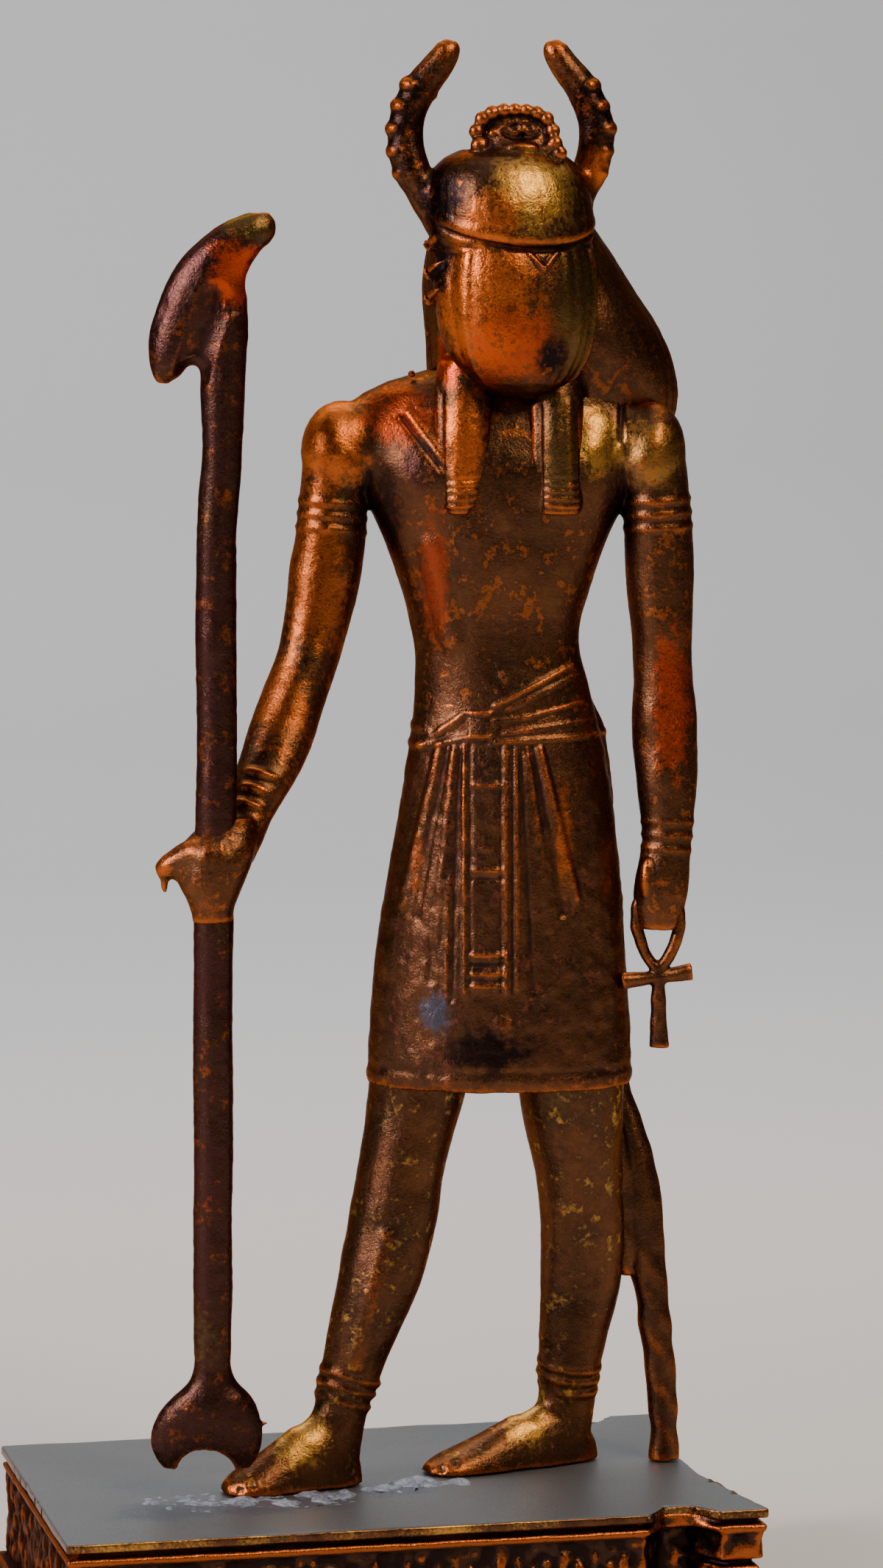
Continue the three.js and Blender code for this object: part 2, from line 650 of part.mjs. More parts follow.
function figureBody() {
  return join([
    legs(), trunk(), apron(), stack(TAIL, { sides: 7 }), shoulders(),
    staffArm(), staff(), ankhArm(), ankh(), wig(), beetle(), clypeus(), horns(),
  ]);
}

// Named meshes

function toMesh(name, solid, colour, roughness) {
  const { vertProperties, triVerts } = solid.getMesh();
  const held = vertProperties.map((value) => Math.round(value / POINT_STEP) * POINT_STEP);
  const joined = new THREE.BufferGeometry();
  joined.setAttribute('position', new THREE.BufferAttribute(held, 3));
  joined.setIndex(new THREE.BufferAttribute(triVerts, 1));
  const geometry = mergeVertices(joined, POINT_STEP / 10);
  const corners = [...geometry.index.array];
  const faces = Array.from({ length: corners.length / 3 }, (_, k) => corners.slice(3 * k, 3 * k + 3));
  geometry.setIndex(faces.filter((face) => new Set(face).size === 3).flat());
  const material = new THREE.MeshStandardMaterial({ color: colour, roughness, metalness: 1 });
  const mesh = new THREE.Mesh(geometry, material);
  mesh.name = name;
  return mesh;
}

const figure = toMesh('khepri_figure', figureBody(), 0x8c4a28, 0.36);
figure.position.set(FIGURE_X, FIGURE_Y, PLINTH_HEIGHT);
figure.rotation.z = FIGURE_TURN * THREE.MathUtils.DEG2RAD;

const statue = new THREE.Group();
statue.add(figure, toMesh('plinth', plinthBody(), 0x5a4a40, 0.5));

export default statue;
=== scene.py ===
"""A small cast souvenir figure of Khepri, the beetle-headed god, on its notched plinth.

While a piece is in hand its lengths are millimetres in the figure's own frame: the figure faces -Y,
x is its width with the ankh on the +X side, and z = 0 is the top of the plinth. A finished piece is
turned, set on the plinth and brought to metres, with its place in its mesh.
"""

import itertools
import logging
import math
from dataclasses import dataclass, field
from enum import Enum
from typing import Callable, Sequence

import bpy
import numpy as np
from mathutils import Matrix, Vector

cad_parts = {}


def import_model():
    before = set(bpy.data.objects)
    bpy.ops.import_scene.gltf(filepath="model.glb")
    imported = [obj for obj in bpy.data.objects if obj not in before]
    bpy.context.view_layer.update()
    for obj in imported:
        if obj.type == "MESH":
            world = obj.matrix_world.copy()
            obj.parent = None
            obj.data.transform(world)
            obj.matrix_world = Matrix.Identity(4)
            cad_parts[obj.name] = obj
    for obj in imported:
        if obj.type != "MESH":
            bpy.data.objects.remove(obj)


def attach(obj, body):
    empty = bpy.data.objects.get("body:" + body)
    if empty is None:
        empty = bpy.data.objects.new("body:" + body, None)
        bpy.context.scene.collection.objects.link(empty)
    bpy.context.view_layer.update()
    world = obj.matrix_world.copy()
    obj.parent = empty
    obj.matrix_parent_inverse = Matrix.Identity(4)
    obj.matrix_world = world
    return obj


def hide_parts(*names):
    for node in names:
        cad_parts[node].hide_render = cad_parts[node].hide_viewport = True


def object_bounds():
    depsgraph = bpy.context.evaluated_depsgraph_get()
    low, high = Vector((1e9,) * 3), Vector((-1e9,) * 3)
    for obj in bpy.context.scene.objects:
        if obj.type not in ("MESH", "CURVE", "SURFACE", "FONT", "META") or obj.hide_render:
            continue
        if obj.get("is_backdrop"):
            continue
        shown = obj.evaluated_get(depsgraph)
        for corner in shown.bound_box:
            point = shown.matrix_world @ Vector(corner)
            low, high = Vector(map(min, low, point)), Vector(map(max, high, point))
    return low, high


log = logging.getLogger("khepri")

MM = 0.001
FIGURE_TURN = math.radians(-12.6)
FIGURE_AT = Vector((8.42, -0.77, 10.0))
FIGURE_FRAME = Matrix.Scale(MM, 4) @ Matrix.Translation(FIGURE_AT) @ Matrix.Rotation(FIGURE_TURN, 4, "Z")
PLINTH_FRAME = Matrix.Scale(MM, 4)
HIP_TURN = -12.0
HEAD_TURN = 20.0
HEAD_AXIS = Vector((0.9, -2.8, 0.0))

Point = tuple[float, float, float]
Station = tuple[float, float, float, float, float]
Relief = Callable[[np.ndarray, np.ndarray], np.ndarray]

# The trunk's stations, as every upright form's: height, middle x, middle y, half width, half depth
TRUNK: Sequence[Station] = (
    (27.15, 0, 0, 8.9, 5.3), (31, 0, 0, 8.7, 5.15), (36, 0.05, 0, 8.35, 4.95), (41, 0.3, 0, 7.78, 4.7),
    (46, 0.45, 0, 7.08, 4.4), (51, 0.35, 0, 6.28, 3.9), (54, 0.1, 0, 5.8, 3.6), (57.5, -0.3, 0, 5.62, 3.5),
    (61.5, -0.3, 0, 6.65, 3.9), (65, -0.3, 0, 8.0, 4.2), (69, -0.3, 0.1, 10.0, 4.2),
    (72.0, -0.5, 0.3, 10.4, 3.6), (73.3, -0.5, 0.4, 9.0, 3.2), (74.3, -0.6, 0.6, 6.9, 2.7),
    (75.1, -0.5, 0.8, 4.3, 2.0),
)


@dataclass(frozen=True)
class Ring:
    """One ring of a lofted form, in millimetres; lean tips it about the depth axis, towards +X."""

    x: float
    y: float
    z: float
    wide: float
    deep: float
    lean: float = 0.0

    @property
    def middle(self) -> Vector:
        """The ring's middle point."""
        return Vector((self.x, self.y, self.z))


def between(stations: Sequence[Station], place: float) -> list[float]:
    """Reads the smooth run through a form's stations.

    Args:
        stations: the form's stations, in the order of their first number.
        place: the value of the first number to read at.

    Returns:
        All the numbers of a station there.
    """
    last = len(stations) - 1
    high = next((k for k in range(1, last + 1) if place <= stations[k][0]), last)
    low = high - 1
    span = stations[high][0] - stations[low][0]
    t = min(max((place - stations[low][0]) / span, 0.0), 1.0)

    def slope(k: int, column: int) -> float:
        """The run's slope at a station."""
        before, after = stations[max(k - 1, 0)], stations[min(k + 1, last)]
        return (after[column] - before[column]) / (after[0] - before[0])

    values = []
    for column, start in enumerate(stations[low]):
        rise = stations[high][column] - start
        leave = slope(low, column) * span
        arrive = slope(high, column) * span
        values.append(start + rise * t * t * (3 - 2 * t) + t * (1 - t) * ((1 - t) * leave - t * arrive))
    return values


def upright(stations: Sequence[Station], step: float = 1.2) -> list[Ring]:
    """Level rings up a form.

    Args:
        stations: height, middle x, middle y, half width, half depth.
        step: the height between rings.

    Returns:
        The rings, from the lowest up.
    """
    low, high = stations[0][0], stations[-1][0]
    count = max(2, round((high - low) / step))
    rows = [between(stations, low + (high - low) * k / count) for k in range(count + 1)]
    return [Ring(x, y, z, wide, deep) for z, x, y, wide, deep in rows]


def along(points: Sequence[Station], steps: int) -> list[Ring]:
    """Rings square to a path that bends from side to side.

    Args:
        points: x, y, z, half width and half depth at each point of the path.
        steps: rings between one point and the next.

    Returns:
        The rings, from the path's start.
    """
    keyed = [(float(k), *point) for k, point in enumerate(points)]
    rings = []
    for k in range((len(points) - 1) * steps + 1):
        place = k / steps
        ahead, behind = between(keyed, place + 0.05), between(keyed, max(place - 0.05, 0.0))
        _, x, y, z, wide, deep = between(keyed, place)
        rings.append(Ring(x, y, z, wide, deep, math.atan2(ahead[1] - behind[1], ahead[3] - behind[3])))
    return rings


class Bench:
    """The modelling tools. Each one works on the piece in hand, as by hand."""

    @staticmethod
    def clear() -> None:
        """Deselects everything."""
        bpy.ops.object.select_all(action="DESELECT")

    @staticmethod
    def pick(*pieces: bpy.types.Object) -> None:
        """Selects these pieces alone, with the last one active."""
        Bench.clear()
        for piece in pieces:
            piece.select_set(True)
        bpy.context.view_layer.objects.active = pieces[-1]

    @staticmethod
    def edit() -> None:
        """Opens the active piece for editing, with all of it selected."""
        bpy.ops.object.mode_set(mode="EDIT")
        bpy.ops.mesh.select_all(action="SELECT")

    @staticmethod
    def leave() -> bpy.types.Object:
        """Closes the piece being edited and returns it."""
        bpy.ops.object.mode_set(mode="OBJECT")
        return bpy.context.object

    @staticmethod
    def tidy() -> None:
        """Merges doubles and points the faces outwards on the piece being edited."""
        bpy.ops.mesh.select_all(action="SELECT")
        bpy.ops.mesh.remove_doubles(threshold=1e-5)
        bpy.ops.mesh.normals_make_consistent(inside=False)

    @staticmethod
    def loft(rings: Sequence[Ring], sides: int = 24) -> bpy.types.Object:
        """Draws a closed form out of a disc, ring by ring.

        Args:
            rings: the form's rings, in order.
            sides: corners of each ring.

        Returns:
            The closed form.
        """
        first = rings[0]
        Bench.clear()
        bpy.ops.mesh.primitive_circle_add(vertices=sides, radius=1, fill_type="NGON", location=first.middle)
        Bench.edit()
        bpy.ops.transform.resize(value=(first.wide, first.deep, 1), center_override=first.middle)
        if first.lean:
            bpy.ops.transform.rotate(value=-first.lean, orient_axis="Y", center_override=first.middle)
        for last, ring in zip(rings, rings[1:]):
            move = ring.middle - last.middle
            bpy.ops.mesh.extrude_region_move(TRANSFORM_OT_translate={"value": move})
            if last.lean:
                bpy.ops.transform.rotate(value=last.lean, orient_axis="Y", center_override=ring.middle)
            grow = (ring.wide / last.wide, ring.deep / last.deep, 1)
            bpy.ops.transform.resize(value=grow, center_override=ring.middle)
            if ring.lean:
                bpy.ops.transform.rotate(value=-ring.lean, orient_axis="Y", center_override=ring.middle)
        Bench.tidy()
        return Bench.leave()

    @staticmethod
    def ball(middle: Point, radii: Point, turn: float = 0.0, segments: int = 20) -> bpy.types.Object:
        """Shapes a sphere to a stretched ball.

        Args:
            middle: its middle.
            radii: its half sizes.
            turn: its turn about the upright axis, in degrees.
            segments: its number of meridians.

        Returns:
            The ball.
        """
        Bench.clear()
        bpy.ops.mesh.primitive_uv_sphere_add(
            segments=segments, ring_count=max(6, segments // 2), radius=1, location=middle)
        Bench.edit()
        bpy.ops.transform.resize(value=radii, center_override=middle)
        if turn:
            bpy.ops.transform.rotate(value=-math.radians(turn), orient_axis="Z", center_override=middle)
        return Bench.leave()

    @staticmethod
    def block(size: Point, bevel: float) -> bpy.types.Object:
        """Shapes a cube to a block with eased edges, at the origin."""
        Bench.clear()
        bpy.ops.mesh.primitive_cube_add(size=1, location=(0, 0, 0))
        Bench.edit()
        bpy.ops.transform.resize(value=size, center_override=(0, 0, 0))
        bpy.ops.mesh.bevel(offset=bevel, segments=2, affect="EDGES")
        return Bench.leave()

    @staticmethod
    def hoop(middle: Point, wide: float, deep: float, thick: float, axis: Vector) -> bpy.types.Object:
        """A cast ring round a limb, square to the limb's axis.

        Args:
            middle: its middle.
            wide: half width of the limb there.
            deep: half depth of the limb there.
            thick: radius of the ring's section.
            axis: the limb's direction.

        Returns:
            The ring.
        """
        Bench.clear()
        bpy.ops.mesh.primitive_torus_add(major_radius=1, minor_radius=thick / wide, major_segments=40,
                                         minor_segments=10)
        Bench.edit()
        bpy.ops.transform.resize(value=(wide, deep, wide), center_override=(0, 0, 0))
        hoop = Bench.leave()
        turn = Vector((0, 0, 1)).rotation_difference(axis.normalized()).to_matrix().to_4x4()
        hoop.matrix_world = Matrix.Translation(middle) @ turn
        return hoop

    @staticmethod
    def copies(model: bpy.types.Object, rows: Sequence[tuple[Point, Point]]) -> list[bpy.types.Object]:
        """Sets copies of a model, each with a mesh of its own, and removes the model.

        Args:
            model: the model, of unit size at the origin.
            rows: the middle of each copy, and what it is stretched by.

        Returns:
            The copies.
        """
        made = []
        for middle, size in rows:
            Bench.pick(model)
            bpy.ops.object.duplicate(linked=False)
            copy = bpy.context.object
            copy.matrix_world = Matrix.Translation(middle) @ Matrix.Diagonal((*size, 1))
            made.append(copy)
        bpy.data.objects.remove(model)
        return made

    @staticmethod
    def weld(name: str, parts: Sequence[bpy.types.Object], voxel: float, ease: int) -> bpy.types.Object:
        """Fuses overlapping forms to one cast skin.

        Args:
            name: the piece's name.
            parts: the forms.
            voxel: the skin's grain size.
            ease: rounds of smoothing.

        Returns:
            The fused piece, in millimetres.
        """
        Bench.pick(*parts)
        if len(parts) > 1:
            bpy.ops.object.join()
        piece = bpy.context.object
        piece.name = piece.data.name = name
        bpy.ops.object.transform_apply(location=True, rotation=True, scale=True)
        bpy.ops.object.modifier_add(type="REMESH")
        remesh = piece.modifiers[-1]
        remesh.mode = "VOXEL"
        remesh.voxel_size = voxel
        bpy.ops.object.modifier_apply(modifier=remesh.name)
        bpy.ops.object.modifier_add(type="SMOOTH")
        smooth = piece.modifiers[-1]
        smooth.factor = 0.5
        smooth.iterations = ease
        bpy.ops.object.modifier_apply(modifier=smooth.name)
        return piece

    @staticmethod
    def thin(piece: bpy.types.Object, triangles: int) -> None:
        """Thins a piece's mesh to a number of triangles."""
        Bench.pick(piece)
        bpy.ops.object.modifier_add(type="DECIMATE")
        decimate = piece.modifiers[-1]
        decimate.ratio = min(1.0, triangles / (len(piece.data.polygons) * 2))
        bpy.ops.object.modifier_apply(modifier=decimate.name)

    @staticmethod
    def cut(piece: bpy.types.Object, cutter: bpy.types.Object) -> None:
        """Cuts one closed form out of another and removes the cutter."""
        Bench.pick(piece)
        bpy.ops.object.modifier_add(type="BOOLEAN")
        boolean = piece.modifiers[-1]
        boolean.operation = "DIFFERENCE"
        boolean.object = cutter
        bpy.ops.object.modifier_apply(modifier=boolean.name)
        bpy.data.objects.remove(cutter)

    @staticmethod
    def place(piece: bpy.types.Object, at: Matrix) -> None:
        """Moves a piece by a matrix and puts the place into its mesh."""
        Bench.pick(piece)
        piece.matrix_world = at @ piece.matrix_world
        bpy.ops.object.transform_apply(location=True, rotation=True, scale=True)


class Skin:
    """The points of a piece, for chasing relief into its surface."""

    def __init__(self, piece: bpy.types.Object) -> None:
        """Reads the piece's points and edges."""
        self.mesh = piece.data
        count = len(self.mesh.vertices)
        self.points = np.empty(count * 3, np.float64)
        self.mesh.vertices.foreach_get("co", self.points)
        self.points = self.points.reshape(-1, 3)
        edges = np.empty(len(self.mesh.edges) * 2, np.int64)
        self.mesh.edges.foreach_get("vertices", edges)
        self.edges = edges.reshape(-1, 2)

    def normals(self) -> np.ndarray:
        """The points' outward directions."""
        values = np.empty(len(self.mesh.vertices) * 3, np.float64)
        self.mesh.vertex_normals.foreach_get("vector", values)
        return values.reshape(-1, 3)

    def store(self) -> None:
        """Writes the points back to the mesh."""
        self.mesh.vertices.foreach_set("co", self.points.astype(np.float32).ravel())
        self.mesh.update()

    def chase(self, relief: Relief) -> None:
        """Raises or sinks the surface along its normals.

        Args:
            relief: gives the height at each point from the points and their normals.
        """
        normals = self.normals()
        self.points = self.points + normals * relief(self.points, normals)[:, None]
        self.store()

    def smoothed(self, rounds: int) -> np.ndarray:
        """The points after each is drawn to the mean of its neighbours, a number of rounds."""
        one, two = self.edges[:, 0], self.edges[:, 1]
        count = len(self.points)
        share = np.maximum(np.bincount(one, minlength=count) + np.bincount(two, minlength=count), 1)
        points = self.points.copy()
        for _ in range(rounds):
            sums = [np.bincount(one, points[two, axis], count) + np.bincount(two, points[one, axis], count)
                    for axis in range(3)]
            points = np.stack(sums, 1) / share[:, None]
        return points

    def blend(self, creases: Sequence[tuple[Point, float]], rounds: int = 60) -> None:
        """Fills out the creases between forms, as soft casting wax does.

        Args:
            creases: the middle and the reach of each place to fill.
            rounds: how far the crease is filled.
        """
        soft = self.smoothed(rounds)
        share = np.zeros(len(self.points))
        for middle, reach in creases:
            near = 1 - np.linalg.norm(self.points - middle, axis=1) / reach
            share = np.maximum(share, step(near, 0.0, 0.45))
        self.points = self.points + (soft - self.points) * share[:, None]
        self.store()

    def mark_relief(self, rounds: int = 14) -> None:
        """Stores how far each point stands above or below its surroundings, in millimetres."""
        stand = np.einsum("ij,ij->i", self.points - self.smoothed(rounds), self.normals())
        layer = self.mesh.attributes.new("relief", "FLOAT", "POINT")
        layer.data.foreach_set("value", stand.astype(np.float32))


# Relief: heights over a surface, from the points' places in millimetres

def hump(distance: np.ndarray, half: float) -> np.ndarray:
    """A rounded ridge's profile: 1 on its line and 0 from the half width on."""
    return np.clip(1 - (distance / half) ** 2, 0, 1) ** 1.5


def step(value: np.ndarray, low: float, high: float) -> np.ndarray:
    """A smooth step from 0 at low to 1 at high."""
    t = np.clip((value - low) / (high - low), 0, 1)
    return t * t * (3 - 2 * t)


@dataclass(frozen=True)
class Fold:
    """A ridge or groove drawn on the front from one point to another, given as x and z."""

    start: tuple[float, float]
    end: tuple[float, float]
    half: float
    rise: float

    def height(self, points: np.ndarray) -> np.ndarray:
        """Its height at each point, by the distance from its line as seen from the front."""
        start, end = np.array(self.start), np.array(self.end)
        run = end - start
        spots = points[:, [0, 2]] - start
        share = np.clip(spots @ run / (run @ run), 0, 1)
        return self.rise * hump(np.linalg.norm(spots - share[:, None] * run, axis=1), self.half)


@dataclass(frozen=True)
class Wrap:
    """A ridge that runs round the trunk, from one angle and height to another."""

    start: tuple[float, float]
    end: tuple[float, float]
    half: float
    rise: float

    def height(self, angle: np.ndarray, level: np.ndarray) -> np.ndarray:
        """Its height at each angle and level, by the distance above or below its line."""
        share = (angle - self.start[0]) / (self.end[0] - self.start[0])
        line = self.start[1] + np.clip(share, 0, 1) * (self.end[1] - self.start[1])
        ends = step(share, -0.02, 0.02) * step(1 - share, -0.02, 0.02)
        return self.rise * ends * hump(level - line, self.half)


def turn_on(stations: Sequence[Station], points: np.ndarray) -> np.ndarray:
    """Angles round an upright form.

    Args:
        stations: the form's stations.
        points: the points to measure.

    Returns:
        Degrees from the front, positive towards +X.
    """
    heights = np.linspace(stations[0][0], stations[-1][0], 80)
    rows = np.array([between(stations, height) for height in heights])
    middle_x, middle_y, wide, deep = (np.interp(points[:, 2], heights, rows[:, k]) for k in (1, 2, 3, 4))
    return np.degrees(np.arctan2((points[:, 0] - middle_x) / wide, -(points[:, 1] - middle_y) / deep))


def facing(normals: np.ndarray) -> np.ndarray:
    """1 where the surface faces forwards and 0 where it faces back."""
    return step(-normals[:, 1], 0.0, 0.25)


def waver(points: np.ndarray, size: float, depth: float, seed: int) -> np.ndarray:
    """The unevenness of a cast skin: soft random hills.

    Args:
        points: the points.
        size: the distance from one hill or hollow to the next.
        depth: the height of the highest.
        seed: picks the hills.

    Returns:
        The height at each point.
    """
    spots = points / size + 61.0
    cell = np.floor(spots).astype(np.int64)
    share = spots - cell
    share = share * share * (3 - 2 * share)
    hills = np.random.default_rng(seed).uniform(-1, 1, 4096)
    total = np.zeros(len(points))
    for corner in itertools.product((0, 1), repeat=3):
        x, y, z = (cell + corner).T
        key = (x * 73856093) ^ (y * 19349663) ^ (z * 83492791)
        total += hills[key % 4096] * np.prod(np.where(corner, share, 1 - share), axis=1)
    return depth * total


class Body(Enum):
    """The one CAD body and the nodes that pieces stand for."""

    ROOT = "root"
    FIGURE = "khepri_figure"
    PLINTH = "plinth"


def finish(piece: bpy.types.Object, relief: Relief, at: Matrix, material: bpy.types.Material,
           node: Body) -> bpy.types.Object:
    """Chases a piece, sets it in place and dresses it.

    Args:
        piece: the piece, in millimetres.
        relief: its chased relief.
        at: where it goes.
        material: its finish.
        node: the CAD node that it stands for.

    Returns:
        The finished piece.
    """
    skin = Skin(piece)
    skin.chase(relief)
    skin.mark_relief()
    Bench.place(piece, at)
    low, high = (np.array(corner) for corner in BOX)
    placed = Skin(piece)
    placed.points = np.clip(placed.points, low, high)
    placed.store()
    bpy.ops.object.shade_smooth()
    piece.data.materials.clear()
    piece.data.materials.append(material)
    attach(piece, Body.ROOT.value)
    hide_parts(node.value)
    log.info("%s: %d faces", piece.name, len(piece.data.polygons))
    return piece


@dataclass
class Legs:
    """The striding legs with their anklets and feet."""

    forward: Sequence[Station] = (
        (0.4, -11.1, -3.3, 1.5, 1.6), (3.8, -11, -3.1, 1.85, 1.75), (5.9, -10.52, -2.8, 1.95, 1.8),
        (9.7, -9.4, -2.4, 2.38, 2.1), (13.7, -8.13, -2, 2.88, 2.5), (17.6, -7.25, -1.4, 3.02, 2.7),
        (21.3, -6.65, -0.9, 2.98, 2.9), (25.4, -5.75, -0.2, 3.25, 3.3), (31, -4.8, 0, 3.7, 3.8),
    )
    rear: Sequence[Station] = (
        (0.4, 4.7, 4.1, 1.5, 1.6), (4.6, 4.65, 4.05, 2.03, 1.85), (8.5, 5.1, 3.5, 2.3, 2.1),
        (12.8, 5.62, 2.8, 2.8, 2.5), (17, 5.66, 2.1, 2.88, 2.7), (20.6, 5.4, 1.55, 2.98, 3.0),
        (23.3, 5.1, 1.2, 3.3, 3.2), (25.6, 4.9, 0.9, 3.52, 3.4), (31, 4.7, 0.5, 3.9, 3.8),
    )
    anklets: Sequence[tuple[int, float]] = ((0, 5.6), (0, 6.5), (0, 7.3), (1, 5.1), (1, 6.0), (1, 6.8))
    band: float = 0.3
    sunk: float = 0.17
    foot_profile: Sequence[tuple[float, float, float]] = (
        (0, 0.7, 1.4), (0.06, 1.35, 2.8), (0.2, 1.65, 4.5), (0.36, 1.8, 4.5), (0.48, 1.85, 3.85),
        (0.62, 2.0, 2.95), (0.76, 2.1, 2.15), (0.88, 1.95, 1.5), (0.96, 1.4, 1.0), (1, 0.8, 0.7),
    )
    sole: float = 0.05

    def foot(self, heel: tuple[float, float], toe: tuple[float, float], arch: float) -> bpy.types.Object:
        """A foot with a flat sole.

        Args:
            heel: where the heel stands, as x and y.
            toe: where the toes end.
            arch: how high it is, against the profile.

        Returns:
            The foot.
        """
        run = Vector((toe[0] - heel[0], toe[1] - heel[1], 0))
        length = run.length
        stations = [(share * length, 0.0, 0.0, half, level * arch) for share, half, level in self.foot_profile]
        foot = Bench.loft(upright(stations, 0.6), 24)
        Bench.edit()
        bpy.ops.mesh.bisect(plane_co=(0, 0, 0), plane_no=(0, 1, 0), use_fill=True, clear_inner=True)
        Bench.tidy()
        Bench.leave()
        up, ahead = Vector((0, 0, 1)), run.normalized()
        turn = Matrix((up.cross(ahead), up, ahead)).transposed().to_4x4()
        foot.matrix_world = Matrix.Translation((heel[0], heel[1], self.sole)) @ turn
        return foot

    def build(self) -> bpy.types.Object:
        """Fuses the legs, the anklets and the feet."""
        limbs = (self.forward, self.rear)
        parts = [Bench.loft(upright(limb), 28) for limb in limbs]
        for side, height in self.anklets:
            z, x, y, wide, deep = between(limbs[side], height)
            above = between(limbs[side], height + 1)
            axis = Vector((above[1] - x, above[2] - y, 1))
            parts.append(Bench.hoop((x, y, z), wide - self.sunk, deep - self.sunk, self.band, axis))
        parts.append(self.foot((-9.5, -2.9), (-18.5, -6.4), 1.1))
        parts.append(self.foot((6.6, 4.6), (-5.0, -0.6), 0.9))
        piece = Bench.weld("legs", parts, 0.16, 2)
        Skin(piece).blend((((-12.2, -4.0, 4.6), 2.2), ((2.6, 3.0, 4.2), 2.2)))
        return piece

    def relief(self, points: np.ndarray, normals: np.ndarray) -> np.ndarray:
        """Shins, toes and the pitted skin."""
        front = facing(normals)
        height = front * Fold((-9.6, 8.5), (-7.6, 17.0), 0.9, 0.14).height(points)
        height += front * Fold((3.2, 9.0), (4.0, 18.0), 0.9, 0.14).height(points)
        toes = step(-points[:, 2], -1.7, -1.2)
        for spot in ((-17.4, 0.5), (-16.6, 0.9), (-3.9, 0.5), (-3.0, 0.9)):
            height -= 0.16 * toes * hump(np.hypot(points[:, 0] - spot[0], points[:, 2] - spot[1]), 0.35)
        return height + waver(points, 1.7, 0.06, 4) + waver(points, 0.5, 0.015, 2)


@dataclass
class Kilt:
    """The kilt with its belt, crossing sash, pleats and hanging apron."""

    folds: Sequence[Fold] = (
        Fold((-4.0, 50.0), (-6.5, 39.4), 0.5, 0.2), Fold((-3.55, 50.0), (-5.6, 38.8), 0.4, -0.16),
        Fold((-3.05, 50.0), (-4.4, 37.0), 0.42, 0.16), Fold((-2.75, 49.6), (-3.3, 33.2), 0.3, -0.14),
        Fold((-3.5, 41.0), (-3.55, 33.6), 0.4, 0.12), Fold((-4.2, 40.0), (-4.7, 34.5), 0.4, -0.1),
        Fold((2.6, 50.0), (5.05, 40.0), 0.45, 0.24), Fold((2.1, 50.0), (4.2, 39.0), 0.4, -0.16),
        Fold((1.75, 50.0), (3.3, 38.0), 0.4, 0.12), Fold((1.3, 49.6), (2.2, 34.0), 0.3, -0.12),
        Fold((1.35, 42.0), (1.6, 33.6), 0.35, 0.1), Fold((2.9, 41.0), (3.3, 36.0), 0.4, -0.08),
        Fold((-2.42, 50.2), (-2.42, 33.8), 0.2, 0.16), Fold((-2.02, 50.2), (-2.02, 33.8), 0.2, -0.12),
        Fold((0.36, 50.2), (0.38, 33.8), 0.2, 0.14), Fold((0.78, 50.2), (0.82, 33.8), 0.2, -0.12),
        Fold((1.08, 50.2), (1.16, 34.0), 0.2, 0.14), Fold((-0.02, 50.2), (0.0, 34.0), 0.2, -0.12),
        Fold((-1.8, 47.64), (0.15, 47.64), 0.22, 0.13), Fold((-1.8, 41.95), (0.15, 41.95), 0.25, 0.17),
        Fold((-1.8, 41.4), (0.15, 41.4), 0.22, -0.12), Fold((-1.9, 36.3), (0.25, 36.3), 0.26, 0.24),
        Fold((-1.9, 35.65), (0.25, 35.65), 0.26, -0.16), Fold((-1.9, 35.0), (0.25, 35.0), 0.24, 0.22),
        Fold((-1.9, 34.2), (0.25, 34.2), 0.24, 0.2), Fold((-1.2, 43.4), (-0.5, 43.4), 0.25, 0.1),
    )
    belt: Sequence[Fold] = (
        Fold((-5.4, 50.1), (-2.3, 52.4), 0.34, 0.13), Fold((-5.3, 50.0), (-2.2, 50.75), 0.3, 0.12),
        Fold((-4.2, 50.6), (-2.3, 51.5), 0.3, -0.06), Fold((-0.4, 52.85), (4.8, 55.45), 0.2, 0.24),
        Fold((0.4, 52.6), (5.0, 54.7), 0.2, 0.1), Fold((1.6, 52.1), (5.9, 53.1), 0.2, 0.12),
        Fold((0.2, 51.05), (1.8, 51.28), 0.18, 0.14), Fold((1.8, 51.28), (6.2, 51.8), 0.2, 0.08),
        Fold((-0.3, 50.5), (6.4, 50.75), 0.24, 0.12), Fold((-0.3, 51.9), (1.6, 52.1), 0.2, 0.06),
    )
    girdle: Sequence[Wrap] = (
        Wrap((-178, 52.1), (-52, 51.0), 0.36, 0.12), Wrap((-178, 50.5), (-56, 50.0), 0.36, 0.12),
        Wrap((62, 53.4), (178, 52.1), 0.36, 0.12), Wrap((66, 50.8), (178, 50.5), 0.36, 0.12),
    )
    depth: float = 0.7
    top: float = 53.0
    wall: float = 0.1

    def build(self) -> bpy.types.Object:
        """Fuses the kilt's cone, the apron's rounded end and the tail's upper run."""
        stations = [s for s in TRUNK if s[0] < 50] + [tuple(between(TRUNK, z)) for z in (49.5, 51.5, self.top)]
        walls = [min(self.wall, 0.075 * (52.2 - s[0])) for s in stations]
        grown = [(z, x, y, wide + wall, deep + wall) for (z, x, y, wide, deep), wall in zip(stations, walls)]
        hem = (27.0, 0.0, 0.0, 8.85, 5.25)
        cone = Bench.loft(upright([hem, *grown], 0.9), 48)
        end = Bench.ball((-0.15, -4.85, 31.5), (1.2, 0.5, 1.25), HIP_TURN)
        ridge = Bench.loft(upright([
            (27.3, 7.6, 3.9, 0.9, 1.0), (34, 7.35, 4.0, 0.95, 1.0), (42, 6.9, 3.6, 1.0, 1.0),
            (48, 6.6, 2.6, 0.95, 0.95), (51.5, 6.1, 1.8, 0.8, 0.8), (53.6, 5.4, 0.9, 0.4, 0.4)]), 16)
        return Bench.weld("kilt", [cone, end, ridge], 0.14, 2)

